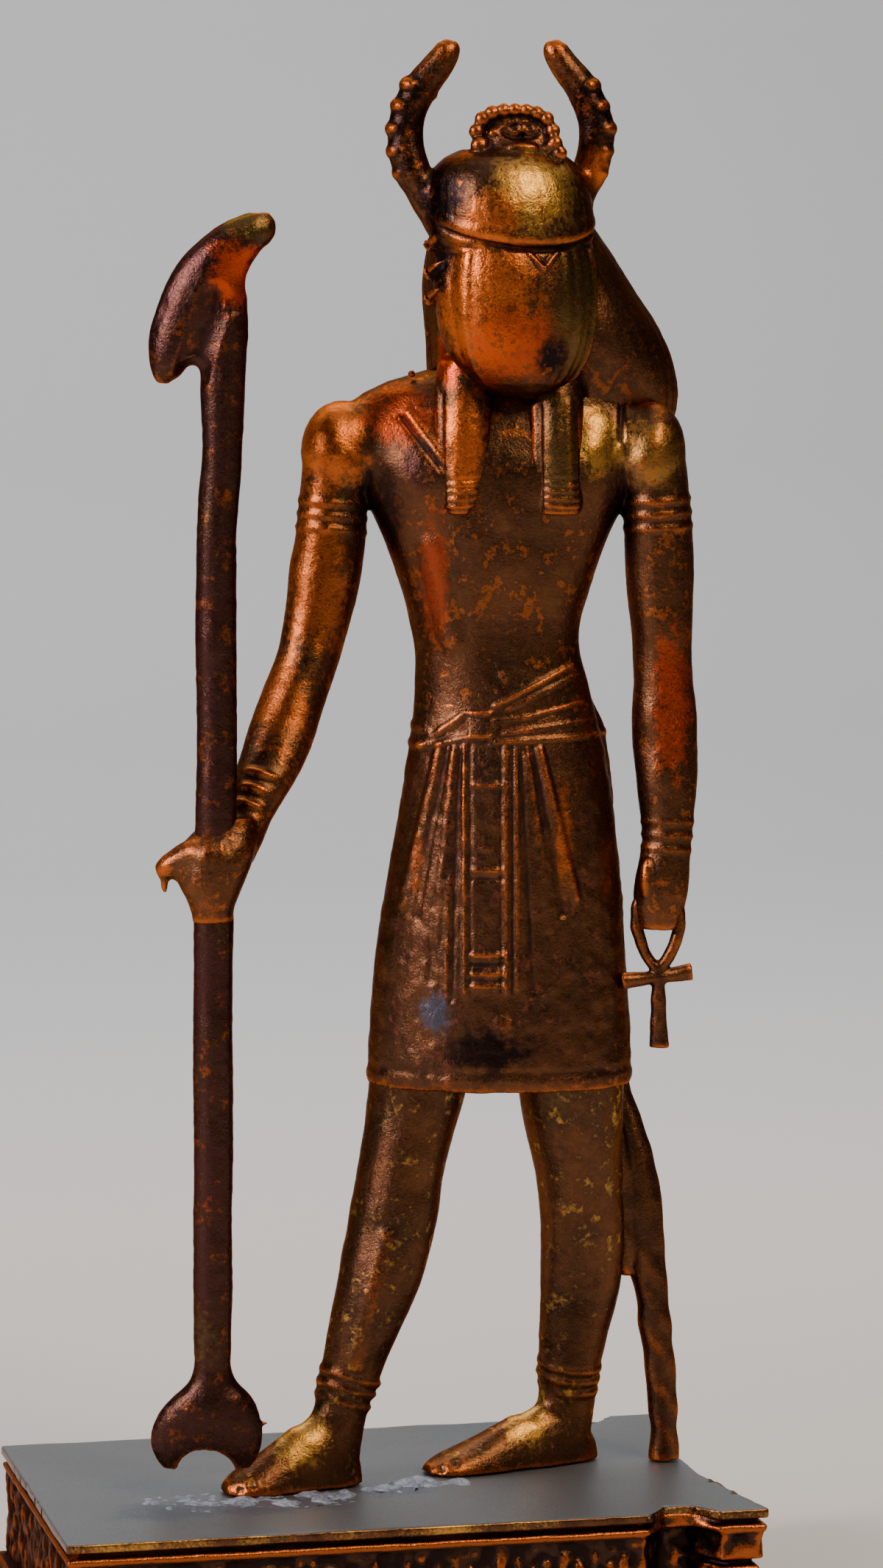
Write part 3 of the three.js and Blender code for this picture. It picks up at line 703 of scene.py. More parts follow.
    def relief(self, points: np.ndarray, normals: np.ndarray) -> np.ndarray:
        """Pleats, apron, belt, buckle and hem."""
        front = facing(normals)
        x, z = points[:, 0], points[:, 2]
        outward = np.clip(1 - np.abs(normals[:, 2]), 0, 1)
        angle = turn_on(TRUNK, points)
        height = sum(fold.height(points) for fold in self.folds) * front * self.depth
        height += sum(fold.height(points) for fold in self.belt) * front
        height += sum(wrap.height(angle, z) for wrap in self.girdle) * outward
        apron = step(x, -2.5, -2.2) * step(-x, -1.3, -1.0) * step(z, 33.4, 33.9) * step(-z, -50.6, -50.1)
        spread = (50.5 - z) * 0.24
        wings = step(x + 4.2 + spread, -0.2, 0.2) * step(2.8 + spread - x, -0.2, 0.2)
        wings *= step(-z, -50.4, -49.5) * step(z, 38.0, 41.0)
        buckle = step(x, -2.3, -2.0) * step(-x, 0.35, 0.65) * step(z, 50.5, 50.75) * step(-z, -52.75, -52.45)
        height += front * (0.05 * apron + 0.06 * wings + 0.13 * buckle)
        height += front * Fold((-1.95, 50.85), (-0.75, 50.85), 0.2, 0.12).height(points)
        height += front * Fold((-1.95, 52.35), (-0.75, 52.35), 0.2, 0.08).height(points)
        height += 0.06 * hump(z - 27.5, 0.5) * outward - 0.05 * hump(z - 28.3, 0.4) * outward
        return height + waver(points, 1.1, 0.05, 9) + waver(points, 0.5, 0.03, 3)


@dataclass
class Torso:
    """The chest and both arms, with their armlets, bracelets and hands."""

    staff_arm: Sequence[Station] = (
        (42.8, -17.8, -7.2, 1.5, 1.6), (45.6, -16.75, -5.9, 1.65, 1.6), (49, -15.3, -4.0, 2.25, 2.0),
        (52.7, -14, -2.2, 2.3, 2.1), (57, -12.55, -0.9, 2.18, 2.1), (61.5, -11.7, -0.4, 2.42, 2.3),
        (66, -11.2, 0, 2.3, 2.4), (71, -10.95, 0, 2.1, 2.5),
    )
    ankh_arm: Sequence[Station] = (
        (37.6, 10.6, -1.3, 1.3, 1.2), (38.4, 10.65, -1.3, 1.6, 1.35), (40.5, 10.85, -1.2, 1.85, 1.7),
        (43.7, 11.2, -1, 1.68, 1.6), (47.5, 11.2, -0.6, 2.08, 2.0), (51.5, 11.05, -0.2, 2.18, 2.15),
        (56, 10.9, 0, 1.98, 2.1), (61.5, 10.72, 0, 2.3, 2.3), (66, 10.5, 0, 2.25, 2.4), (71, 10.2, 0, 2.0, 2.5),
    )
    fist: Sequence[Station] = (
        (38.9, -18.98, -8, 1.34, 1.3), (40.3, -19.05, -8.1, 1.6, 1.7), (42, -19.1, -8.1, 2.4, 2.0),
        (43.6, -18.7, -7.9, 2.6, 2.0), (45, -18.1, -7.4, 2.1, 1.8), (45.9, -17.8, -7.2, 1.4, 1.2),
    )
    thumb: Sequence[Station] = (
        (-18.2, -8.6, 43.5, 1.5, 1.4), (-20.0, -8.5, 43.3, 1.35, 1.3), (-21.4, -8.2, 42.8, 1.0, 1.0),
        (-22.2, -8.1, 42.5, 0.75, 0.75), (-22.75, -8.0, 42.3, 0.4, 0.4),
    )
    bands: Sequence[tuple[int, float]] = (
        (0, 64.4), (0, 65.3), (0, 66.2), (0, 46.0), (0, 46.9), (0, 47.8),
        (1, 64.6), (1, 65.5), (1, 66.4), (1, 43.0), (1, 43.9), (1, 44.8),
    )
    band: float = 0.3
    sunk: float = 0.19
    creases: Sequence[tuple[Point, float]] = (
        ((-8.3, -1.5, 71.2), 3.4), ((-8.3, 1.5, 71.2), 3.0), ((8.0, -1.5, 71.2), 3.0), ((8.0, 1.5, 71.2), 3.0),
        ((-17.8, -7.4, 44.2), 2.2), ((-20.3, -8.3, 42.6), 1.8), ((10.7, -1.3, 41.5), 1.6),
        ((-18.9, -8.0, 40.0), 1.8),
    )

    def build(self) -> bpy.types.Object:
        """Fuses the chest, the shoulders, the arms, the rings and the hands."""
        chest = [tuple(between(TRUNK, 49.0))] + [s for s in TRUNK if s[0] > 50]
        parts = [Bench.loft(upright(chest, 0.8), 48)]
        parts += [Bench.loft(upright(arm), 28) for arm in (self.staff_arm, self.ankh_arm)]
        parts.append(Bench.ball((-10.5, 0, 69.6), (2.8, 2.9, 3.45), 0, 28))
        parts.append(Bench.ball((9.85, 0, 69.5), (2.6, 2.9, 3.6), 0, 28))
        for side, height in self.bands:
            arm = (self.staff_arm, self.ankh_arm)[side]
            z, x, y, wide, deep = between(arm, height)
            above, below = between(arm, height + 1), between(arm, height - 1)
            axis = Vector((above[1] - below[1], above[2] - below[2], 2))
            tilt = 2 / axis.length
            parts.append(Bench.hoop((x, y, z), wide * tilt - self.sunk, deep - self.sunk, self.band, axis))
        parts.append(Bench.loft(upright(self.fist, 0.6), 24))
        parts.append(Bench.loft(along(self.thumb, 4), 16))
        parts.append(Bench.ball((-18.9, -9.1, 43.0), (1.7, 1.0, 1.7), 0, 18))
        parts.append(Bench.ball((9.9, -2.3, 41.0), (0.6, 0.6, 1.6), 0, 14))
        parts.append(Bench.ball((-22.2, -8.1, 41.6), (0.28, 0.28, 0.75), 0, 10))
        piece = Bench.weld("torso_and_arms", parts, 0.16, 2)
        Skin(piece).blend(self.creases)
        return piece

    def relief(self, points: np.ndarray, normals: np.ndarray) -> np.ndarray:
        """Breast muscles, the chest's groove and elbows."""
        front = facing(normals)
        x, z = points[:, 0], points[:, 2]
        height = 0.28 * hump(np.hypot((x + 5.2) / 1.25, z - 68.0), 3.2)
        height += 0.28 * hump(np.hypot((x - 5.0) / 1.25, z - 68.0), 3.2)
        height += Fold((-6.6, 72.0), (-3.9, 68.6), 0.26, -0.2).height(points)
        height += Fold((-6.1, 72.3), (-3.6, 69.2), 0.4, 0.12).height(points)
        height += Fold((8.1, 73.0), (8.0, 70.5), 0.3, -0.2).height(points)
        height += Fold((-0.4, 64.5), (-0.4, 55.5), 1.2, -0.1).height(points)
        height += Fold((-4.8, 63.5), (-3.2, 57.0), 1.0, 0.14).height(points)
        height += Fold((-0.4, 52.85), (4.8, 55.45), 0.2, 0.22).height(points)
        height += Fold((0.8, 52.8), (5.2, 54.8), 0.2, 0.1).height(points)
        height += Fold((0.05, 55.1), (0.3, 54.4), 0.16, 0.12).height(points)
        height += 0.25 * hump(np.hypot(x - 6.4, (z - 70.8) / 1.6), 1.3)
        return height * front + waver(points, 2.0, 0.07, 5) + waver(points, 0.5, 0.015, 6)


@dataclass
class Tail:
    """The bull's tail that hangs from the belt and runs down behind the rear leg."""

    stations: Sequence[Station] = (
        (0.05, 11.4, 3.7, 1.1, 1.0), (0.9, 11.4, 3.7, 0.96, 0.9), (5, 11.22, 3.7, 1.06, 1.0),
        (12, 10.45, 3.9, 1.2, 1.1), (15, 10.0, 4.1, 1.42, 1.15), (18.8, 9.72, 4.3, 1.42, 1.15),
        (22.7, 9.1, 4.7, 1.05, 1.0), (26, 8.12, 5.1, 0.85, 0.95), (30, 7.85, 5.1, 0.85, 0.9),
        (38, 7.5, 4.4, 0.9, 0.9), (46, 6.7, 3.2, 0.85, 0.85),
    )
    web: Sequence[Station] = (
        (13.0, 8.75, 3.6, 0.5, 0.4), (14.0, 8.75, 3.6, 0.95, 0.6), (19, 8.2, 3.6, 1.2, 0.7),
        (24, 7.2, 3.6, 1.2, 0.8), (28, 6.8, 3.8, 0.9, 0.8),
    )

    def build(self) -> bpy.types.Object:
        """Fuses the tail with the web that joins it to the leg."""
        parts = [Bench.loft(upright(self.stations), 18), Bench.loft(upright(self.web), 14)]
        return Bench.weld("tail", parts, 0.14, 3)

    def relief(self, points: np.ndarray, normals: np.ndarray) -> np.ndarray:
        """The tuft's locks and the pitted skin."""
        locks = np.sin(points[:, 2] * 2.4 + points[:, 0] * 3.0) * step(-points[:, 2], -19.0, -14.0)
        return 0.03 * locks + waver(points, 1.2, 0.06, 6)


@dataclass
class Staff:
    """The forked staff with its animal-headed top."""

    shaft: Sequence[Station] = (
        (8.2, -19.18, -8, 1.3, 1.2), (28, -19.05, -8, 1.32, 1.25), (39, -18.98, -8, 1.34, 1.25),
        (50, -18.73, -8, 1.36, 1.25), (62, -18.75, -8, 1.34, 1.25), (65.5, -18.6, -8, 1.36, 1.25),
        (68.5, -18.35, -8, 1.4, 1.25), (71, -18.25, -8, 1.36, 1.25), (76, -18.25, -8, 1.56, 1.3),
        (79, -18.05, -8, 1.5, 1.3),
    )
    head: Sequence[Station] = (
        (75.85, -19.89, -8, 3.1, 1.25), (77.4, -19.81, -8, 3.24, 1.42), (78.4, -19.71, -8, 3.15, 1.5),
        (79.3, -19.6, -8, 3.0, 1.55), (80.3, -19.43, -8, 2.79, 1.55), (81.25, -19.2, -8, 2.54, 1.5),
        (82.2, -18.73, -8, 2.47, 1.45), (83.2, -17.97, -8, 2.45, 1.38), (84.1, -17.12, -8, 2.28, 1.25),
        (84.7, -16.68, -8, 1.95, 1.1), (85.2, -16.25, -8, 1.4, 0.85), (85.6, -15.85, -8, 0.7, 0.5),
    )
    snout: Sequence[Station] = (
        (-20.4, -8, 79.6, 1.9, 1.5), (-21.15, -8, 77.5, 1.75, 1.45), (-21.75, -8, 75.9, 1.35, 1.3),
        (-22.05, -8, 75.0, 0.85, 0.9), (-22.15, -8, 74.45, 0.35, 0.4),
    )
    fork: Sequence[Station] = (
        (2.2, -19.6, -8, 2.9, 0.7), (3, -19.6, -8, 3.45, 1.1), (4.3, -19.6, -8, 3.75, 1.35),
        (5.9, -19.45, -8, 3.35, 1.45), (7, -19.3, -8, 2.65, 1.4), (8.1, -19.2, -8, 1.6, 1.25),
        (9.4, -19.2, -8, 1.3, 1.2),
    )

    def build(self) -> bpy.types.Object:
        """Fuses the shaft, the head and the arched fork."""
        fork = Bench.loft(upright(self.fork, 0.6), 28)
        Bench.cut(fork, Bench.ball((-19.65, -8, 1.9), (2.05, 3, 1.95)))
        parts = [Bench.loft(upright(self.shaft, 1.5), 20), Bench.loft(upright(self.head, 0.5), 32),
                 Bench.loft(along(self.snout, 4), 24), fork]
        parts.append(Bench.ball((-15.85, -8, 5.2), (0.4, 0.15, 0.12), 0, 10))
        parts.append(Bench.ball((-20.9, -8, 75.6), (0.12, 0.12, 0.5), 0, 10))
        piece = Bench.weld("staff", parts, 0.13, 3)
        Skin(piece).blend((((-19.2, -8, 76.5), 2.6), ((-16.2, -8, 82.0), 2.0), ((-19.2, -8, 8.2), 2.4)), 50)
        return piece

    def relief(self, points: np.ndarray, normals: np.ndarray) -> np.ndarray:
        """The hollow of the cheek and the shaft's unevenness."""
        height = Fold((-20.2, 75.2), (-18.6, 80.0), 1.3, -0.55).height(points)
        return height * np.abs(normals[:, 1]) + waver(points, 2.4, 0.09, 11) + waver(points, 0.5, 0.02, 13)


@dataclass
class Ankh:
    """The small looped cross that hangs from the other hand."""

    middle: float = 10.63
    depth: float = -1.5
    loop: Sequence[tuple[float, float]] = (
        (0.1, 34.9), (0.75, 35.75), (1.22, 36.9), (1.48, 38.2), (1.3, 39.4), (0.7, 40.3), (0.0, 40.6),
    )

    def build(self) -> bpy.types.Object:
        """Fuses the loop, the crossbar and the flared stem."""
        x, y = self.middle, self.depth
        parts = []
        for side in (-1, 1):
            parts.append(Bench.loft(along([(x + side * reach, y, z, 0.42, 0.46) for reach, z in self.loop], 3), 12))
        stem = [(29.55, x + 0.1, y, 0.68, 0.5), (32, x + 0.07, y, 0.56, 0.5), (35.2, x, y, 0.42, 0.46)]
        parts.append(Bench.loft(upright(stem, 0.7), 14))
        bar = [(8.2, y - 0.4, 34.1, 0.6, 0.5), (9.5, y - 0.1, 34.2, 0.52, 0.5), (10.7, y, 34.35, 0.45, 0.5),
               (12.2, y + 0.3, 34.55, 0.56, 0.5), (12.95, y + 0.4, 34.65, 0.6, 0.5)]
        parts.append(Bench.loft(along(bar, 3), 12))
        return Bench.weld("ankh", parts, 0.1, 3)

    def relief(self, points: np.ndarray, normals: np.ndarray) -> np.ndarray:
        """Its uneven skin."""
        return waver(points, 0.8, 0.05, 15)


@dataclass
class Wig:
    """The long wig behind the beetle, with its two lappets on the chest."""

    stations: Sequence[Station] = (
        (61.5, 1, 3.4, 4.4, 1.3), (65, 1.9, 3.8, 5.6, 2.3), (69, 3.2, 3.7, 7.4, 3.9), (73, 3.6, 3.3, 8.35, 5.2),
        (77, 3.05, 2.6, 8.0, 5.8), (81, 1.7, 2, 6.85, 5.5), (84.5, 0.9, 1.2, 5.4, 4.6), (87.6, 0.7, 0, 3.6, 2.8),
    )
    near_lappet: Sequence[Station] = (
        (65.6, -2.8, -3.6, 0.75, 0.9), (66.1, -2.75, -3.4, 1.25, 1.3), (67.2, -2.6, -3.2, 1.62, 1.5),
        (69, -2.45, -3.0, 1.85, 1.6), (71.5, -2.4, -2.7, 1.95, 1.8), (76, -2.2, -1.6, 2.2, 2.2),
    )
    far_lappet: Sequence[Station] = (
        (65.6, 3.85, -3.5, 1.3, 0.9), (66.1, 3.85, -3.3, 1.65, 1.3), (67.5, 3.8, -3.1, 1.75, 1.5),
        (71.5, 3.75, -2.7, 1.75, 1.8), (76, 3.6, -1.4, 2.1, 2.2),
    )

    def build(self) -> bpy.types.Object:
        """Fuses the wig and its lappets."""
        parts = [Bench.loft(upright(self.stations, 0.9), 40)]
        parts += [Bench.loft(upright(lappet, 0.6), 28) for lappet in (self.near_lappet, self.far_lappet)]
        parts.append(Bench.ball((-4.75, -1.4, 77.4), (0.42, 0.4, 0.4), 0, 10))
        parts.append(Bench.ball((-5.9, -0.9, 74.85), (0.3, 0.25, 0.3), 0, 10))
        piece = Bench.weld("wig", parts, 0.15, 2)
        Skin(piece).blend((((-3.9, -1.6, 76.0), 2.4), ((5.6, -1.6, 75.5), 2.4)), 40)
        return piece

    def relief(self, points: np.ndarray, normals: np.ndarray) -> np.ndarray:
        """Strands down the wig's back, and the edges and end bands of the lappets."""
        angle = turn_on(self.stations, points)
        behind = step(points[:, 1], 0.2, 2.4)
        height = behind * 0.05 * np.cos(np.radians(angle) * 40)
        front = facing(normals) * (1 - step(points[:, 1], -0.6, 0.8))
        lines = [Fold((-4.15, 66.2), (-4.3, 74.0), 0.24, 0.1), Fold((-3.8, 66.2), (-3.9, 73.6), 0.2, -0.08),
                 Fold((2.3, 65.9), (2.2, 72.8), 0.22, 0.16), Fold((2.7, 65.9), (2.6, 72.8), 0.2, -0.1),
                 Fold((4.6, 67.5), (4.5, 73.0), 0.4, 0.08), Fold((5.4, 66.0), (5.35, 73.4), 0.2, -0.1)]
        for k in range(5):
            level = 68.0 - 0.5 * k
            lines.append(Fold((-3.7, level - 0.1), (-1.0, level), 0.16, -0.07))
            lines.append(Fold((2.9, level), (5.3, level - 0.1), 0.16, -0.07))
        return height + sum(line.height(points) for line in lines) * front + waver(points, 1.8, 0.05, 8) + waver(points, 0.5, 0.015, 18)


@dataclass
class Beetle:
    """The scarab that is the figure's head: wing cases, neck shield, beaded face and raised forelegs."""

    elytra: Sequence[Station] = (
        (73.3, 0.56, -0.2, 1.2, 1.2), (74, 0.44, -0.26, 2.9, 2.6), (75.4, 0.17, -0.27, 4.55, 3.6),
        (77.4, 0.07, -0.24, 5.4, 4.4), (80, 0.02, -0.11, 5.75, 4.7), (82.4, 0, 0, 5.65, 4.6),
        (84.0, 0, 0.15, 5.15, 4.2),
    )
    pronotum: Sequence[Station] = (
        (83.2, -0.15, 0.15, 5.1, 4.4), (83.7, -0.15, 0.1, 5.45, 4.8), (84.4, -0.2, 0.1, 5.6, 4.95),
        (86.2, -0.25, 0.3, 5.65, 5.05), (88.0, -0.4, 0.4, 5.2, 4.6), (89.1, -0.4, 0.4, 4.3, 3.8),
        (89.7, -0.3, 0.4, 3.2, 2.8),
    )
    face: Point = (0.95, -3.4, 89.95)
    beads: Sequence[tuple[float, float, float]] = (
        (-2.2, 1.75, 0.5), (-1.55, 2.15, 0.48), (-0.8, 2.32, 0.45), (-0.05, 2.36, 0.43), (0.7, 2.32, 0.44),
        (1.4, 2.15, 0.47), (2.05, 1.75, 0.5), (2.45, 0.95, 0.5), (-2.55, 0.9, 0.52), (-2.35, -0.05, 0.66),
        (-1.5, -0.45, 0.45), (2.6, 0.15, 0.5), (2.9, -0.5, 0.5), (-1.45, 0.75, 0.36), (2.0, -0.3, 0.4),
    )
    horn: Sequence[Station] = (
        (-3.2, -3.2, 83.8, 0.9, 1.1), (-4.35, -3.3, 85.4, 1.2, 1.25), (-5.4, -3.2, 87.3, 1.22, 1.25),
        (-6.15, -3.1, 89.2, 1.2, 1.2), (-6.3, -3, 91, 1.2, 1.2), (-5.95, -3, 92.5, 1.15, 1.15),
        (-5.2, -3, 93.9, 1.12, 1.05), (-4.45, -3, 94.85, 1.05, 0.95), (-3.8, -3, 95.7, 0.95, 0.88),
        (-3.42, -3, 96.4, 0.78, 0.75), (-3.3, -3, 96.85, 0.4, 0.4),
    )
    far_horn: Sequence[Station] = (
        (3.3, -0.6, 83.8, 0.9, 1.1), (4.5, -0.4, 85.4, 1.2, 1.25), (5.5, -0.2, 87.3, 1.22, 1.25),
        (6.25, 0, 89.2, 1.2, 1.2), (6.35, 0, 91, 1.2, 1.2), (6.0, 0, 92.5, 1.15, 1.15),
        (5.3, 0, 93.9, 1.12, 1.05), (4.55, 0, 94.85, 1.05, 0.95), (3.92, 0, 95.7, 0.95, 0.88),
        (3.55, 0, 96.4, 0.78, 0.75), (3.45, 0, 96.85, 0.4, 0.4),
    )
    knobs: Sequence[tuple[float, float]] = ((6.45, 88.2), (6.85, 89.6), (6.95, 91.05), (6.55, 92.5), (5.95, 93.9))
    flank: float = 57.0

    def turned(self, stations: Sequence[Station]) -> bpy.types.Object:
        """A form of the head, made straight and then turned with it."""
        form = Bench.loft(upright(stations, 0.5), 44)
        turn = Matrix.Rotation(math.radians(HEAD_TURN), 4, "Z")
        Bench.place(form, Matrix.Translation(HEAD_AXIS) @ turn)
        return form

    def clypeus(self) -> list[bpy.types.Object]:
        """The flat face above the neck shield: a hollow with a rim of beads."""
        x, y, z = self.face
        body = Bench.loft(upright([
            (z - 2.4, x - 0.2, y, 4.0, 3.0), (z - 1.2, x - 0.1, y, 3.3, 2.5), (z, x, y, 2.8, 1.9),
            (z + 1.2, x, y, 2.5, 1.4), (z + 2.0, x - 0.05, y, 1.95, 0.9)], 0.4), 28)
        Bench.cut(body, Bench.ball((x + 0.35, y - 1.75, z + 0.95), (1.55, 1.2, 0.66)))
        bead = Bench.ball((0, 0, 0), (1, 1, 1), 0, 14)
        rows = [((x + dx, y - 1.15 - 0.3 * (dz < 0.6), z + dz), (r, r * 0.9, r)) for dx, dz, r in self.beads]
        rows.append(((x + 0.25, y - 1.75, z - 0.15), (1.3, 0.55, 0.36)))
        rows += [((x + 0.35 + dx, y - 0.85, z + 0.95 + dz), (0.42, 0.4, 0.3))
                 for dx, dz in ((-0.95, 0.05), (-0.45, -0.15), (0.1, 0.12), (0.6, -0.12), (1.05, 0.1))]
        return [body, *Bench.copies(bead, rows)]

    def build(self) -> bpy.types.Object:
        """Fuses the head."""
        parts = [self.turned(self.elytra), self.turned(self.pronotum), *self.clypeus()]
        knob = Bench.ball((0, 0, 0), (1, 1, 1), 0, 16)
        rows = []
        for horn, side in ((self.horn, -1), (self.far_horn, 1)):
            parts.append(Bench.loft(along(horn, 3), 20))
            depth = horn[4][1]
            rows += [((side * (reach - 0.05), depth - 0.1, height), (0.85, 1.1, 0.68)) for reach, height in self.knobs]
        parts += Bench.copies(knob, rows)
        for height in (83.9, 82.0, 80.3):
            leg = [(-3.6, -5.5, height + 0.5, 0.42, 0.42), (-4.3, -4.7, height - 0.2, 0.5, 0.5),
                   (-4.75, -3.4, height - 0.6, 0.48, 0.5), (-4.7, -2.0, height - 0.2, 0.4, 0.4)]
            parts.append(Bench.loft(along(leg, 3), 12))
        parts.append(Bench.ball((-4.35, -3, 93.3), (0.2, 0.2, 0.3), 0, 8))
        piece = Bench.weld("beetle_head", parts, 0.13, 2)
        Skin(piece).blend((((-5.0, -3.2, 86.2), 2.4), ((5.6, -1.2, 86.4), 2.4)), 60)
        return piece

    def relief(self, points: np.ndarray, normals: np.ndarray) -> np.ndarray:
        """The wing cases' parting and rims, the seam of the neck shield and the scutellum's edges."""
        turn = math.radians(-HEAD_TURN)
        x, y, z = points[:, 0] - HEAD_AXIS.x, points[:, 1] - HEAD_AXIS.y, points[:, 2]
        across = x * math.cos(turn) - y * math.sin(turn)
        ahead = x * math.sin(turn) + y * math.cos(turn)
        angle = np.degrees(np.arctan2(across, -ahead))
        on_head = step(5.9 - np.hypot(across, ahead), 0.0, 0.3)
        wings = step(z, 73.8, 74.8) * step(-z, -83.3, -82.9) * on_head
        height = -0.07 * hump(angle, 2.4) * wings * step(-z, -81.9, -81.2)
        for side, rim in ((-1, 0.06), (1, 0.14)):
            height += rim * hump(side * angle - self.flank, 4) * wings
            height -= 0.3 * step(side * angle, self.flank + 2, self.flank + 14) * wings
        height += 0.03 * wings * step(angle, 14, 24) * np.cos(np.radians(angle) * 28) * step(-angle, -50, -44)
        seam = 83.15 + 0.6 * (angle / 50) ** 2
        front = step(-np.abs(angle), -110, -95) * on_head
        height -= 0.22 * hump(z - seam, 0.26) * front
        height += 0.1 * hump(z - seam - 0.6, 0.55) * front
        edges = [Fold((1.75, 83.1), (2.75, 81.95), 0.24, 0.16), Fold((3.65, 83.1), (2.8, 81.95), 0.24, 0.16),
                 Fold((2.0, 82.95), (2.75, 82.25), 0.2, -0.12), Fold((3.4, 82.95), (2.8, 82.25), 0.2, -0.12)]
        height += sum(edge.height(points) for edge in edges) * facing(normals) * wings
        return height + waver(points, 1.9, 0.06, 7) + waver(points, 0.45, 0.012, 17)


@dataclass
class Plinth:
    """The notched plinth: a rounded lip, a sunk line, corner blocks and a low relief on its long sides."""

    length: float = 47.2
    width: float = 29.6
    height: float = 10.0
    lip: float = 0.7
    recess: float = 0.4
    notch_start: float = 15.5
    notch_end: float = 20.1
    notch: float = 1.9
    deep_notch: float = 3.4
    side_notch: tuple[float, float] = (-4.1, 8.6)
    strokes: int = 34

    def slab(self, top: float, bottom: float, inset: float, block: float | None = None,
             notch: float | None = None, grid: float = 0.0) -> bpy.types.Object:
        """One level of the plinth.

        Args:
            top: its top.
            bottom: its underside.
            inset: how far the long walls stand in.
            block: how far the corner blocks stand in, if not as the walls do.
            notch: the depth of the notches, if not the lip's.
            grid: the width of the cells that its top is divided into, if it is.

        Returns:
            The slab, with its notches.
        """
        block = inset if block is None else block
        notch = self.notch if notch is None else notch
        edge_x, edge_y = self.length / 2 - inset, self.width / 2 - inset
        Bench.clear()
        bpy.ops.mesh.primitive_plane_add(size=2, location=(0, 0, bottom))
        Bench.edit()
        bpy.ops.transform.resize(value=(edge_x, edge_y, 1), center_override=(0, 0, bottom))
        low, high = self.side_notch
        across = [self.notch_start - inset, self.notch_start + 1.4, self.notch_end - 1.4, self.notch_end + block]
        over = [low - block, low + 3.2, high - 3.2, high + block]
        self.divide(across, (1, 0, 0), bottom)
        self.divide(over, (0, 1, 0), bottom)
        for side in (-1, 1):
            self.shift(lambda c: self.notch_start + 1 < c.x < self.notch_end - 1 and c.y * side > edge_y - 0.01,
                       (0, -side * (notch - inset), 0))
            self.shift(lambda c: c.x > self.notch_end + block - 0.01 and c.y * side > edge_y - 0.01,
                       (0, -side * (block - inset), 0))
        self.shift(lambda c: c.x > edge_x - 0.01 and low < c.y < high, (-self.notch, 0, 0))
        self.shift(lambda c: c.x > edge_x - 0.01 and not low < c.y < high, (inset - block, 0, 0))
        if grid:
            self.divide([grid * k - edge_x for k in range(1, int(2 * edge_x / grid))], (1, 0, 0), bottom)
            self.divide([grid * k - edge_y for k in range(1, int(2 * edge_y / grid))], (0, 1, 0), bottom)
        bpy.ops.mesh.select_all(action="SELECT")
        bpy.ops.mesh.extrude_region_move(TRANSFORM_OT_translate={"value": (0, 0, top - bottom)})
        Bench.tidy()
        return Bench.leave()

    @staticmethod
    def divide(places: Sequence[float], normal: Point, level: float) -> None:
        """Divides the plane being edited along lines at these places on one axis."""
        for place in places:
            bpy.ops.mesh.select_all(action="SELECT")
            bpy.ops.mesh.bisect(plane_co=(place * normal[0], place * normal[1], level), plane_no=normal)

    @staticmethod
    def shift(chosen: Callable[[Vector], bool], move: Point) -> None:
        """Moves the corners of the piece being edited that are chosen by their place."""
        piece = Bench.leave()
        for vertex in piece.data.vertices:
            vertex.select = bool(chosen(piece.matrix_world @ vertex.co))
        for edge in piece.data.edges:
            edge.select = all(piece.data.vertices[k].select for k in edge.vertices)
        for face in piece.data.polygons:
            face.select = all(piece.data.vertices[k].select for k in face.vertices)
        picked = any(vertex.select for vertex in piece.data.vertices)
        bpy.ops.object.mode_set(mode="EDIT")
        if picked:
            bpy.ops.transform.translate(value=move)

    def top(self) -> bpy.types.Object:
        """The lipped top, with eased edges."""
        slab = self.slab(self.height, self.height - self.lip, 0.0, grid=0.6)
        slab.name = slab.data.name = "plinth_top"
        Bench.edit()
        bpy.ops.mesh.select_all(action="DESELECT")
        bpy.ops.mesh.edges_select_sharp(sharpness=math.radians(50))
        bpy.ops.mesh.bevel(offset=0.2, segments=3, affect="EDGES")
        Bench.tidy()
        Bench.leave()
        Bench.place(slab, Matrix.Identity(4))
        return slab

    def top_relief(self, points: np.ndarray, normals: np.ndarray) -> np.ndarray:
        """A faintly uneven top and a lip with small nicks, both inwards."""
        height = waver(points, 3.0, 0.04, 1) - 0.03
        nicks = step(waver(points, 0.8, 1.0, 14), 0.2, 0.7) * (1 - step(normals[:, 2], 0.9, 0.99))
        return height - 0.07 * nicks

    def frieze(self) -> list[bpy.types.Object]:
        """Short upright strokes of uneven height along the front and the back."""
        wall_x, wall_y = self.length / 2 - 0.35, self.width / 2 - 0.35
        pitch = (self.notch_start + wall_x - 3) / self.strokes
        stroke = Bench.block((1, 1, 1), 0.25)
        rows = []
        for side in (-1, 1):
            for k in range(self.strokes):
                x = -wall_x + 1.8 + (k + 0.5) * pitch
                high = 1.3 + 0.55 * ((k * 7) % 4)
                middle = 6.2 + 0.35 * ((k * 5) % 3 - 1)
                rows.append(((x, side * wall_y, middle), (pitch * 0.5, 0.5, high)))
        return Bench.copies(stroke, rows)

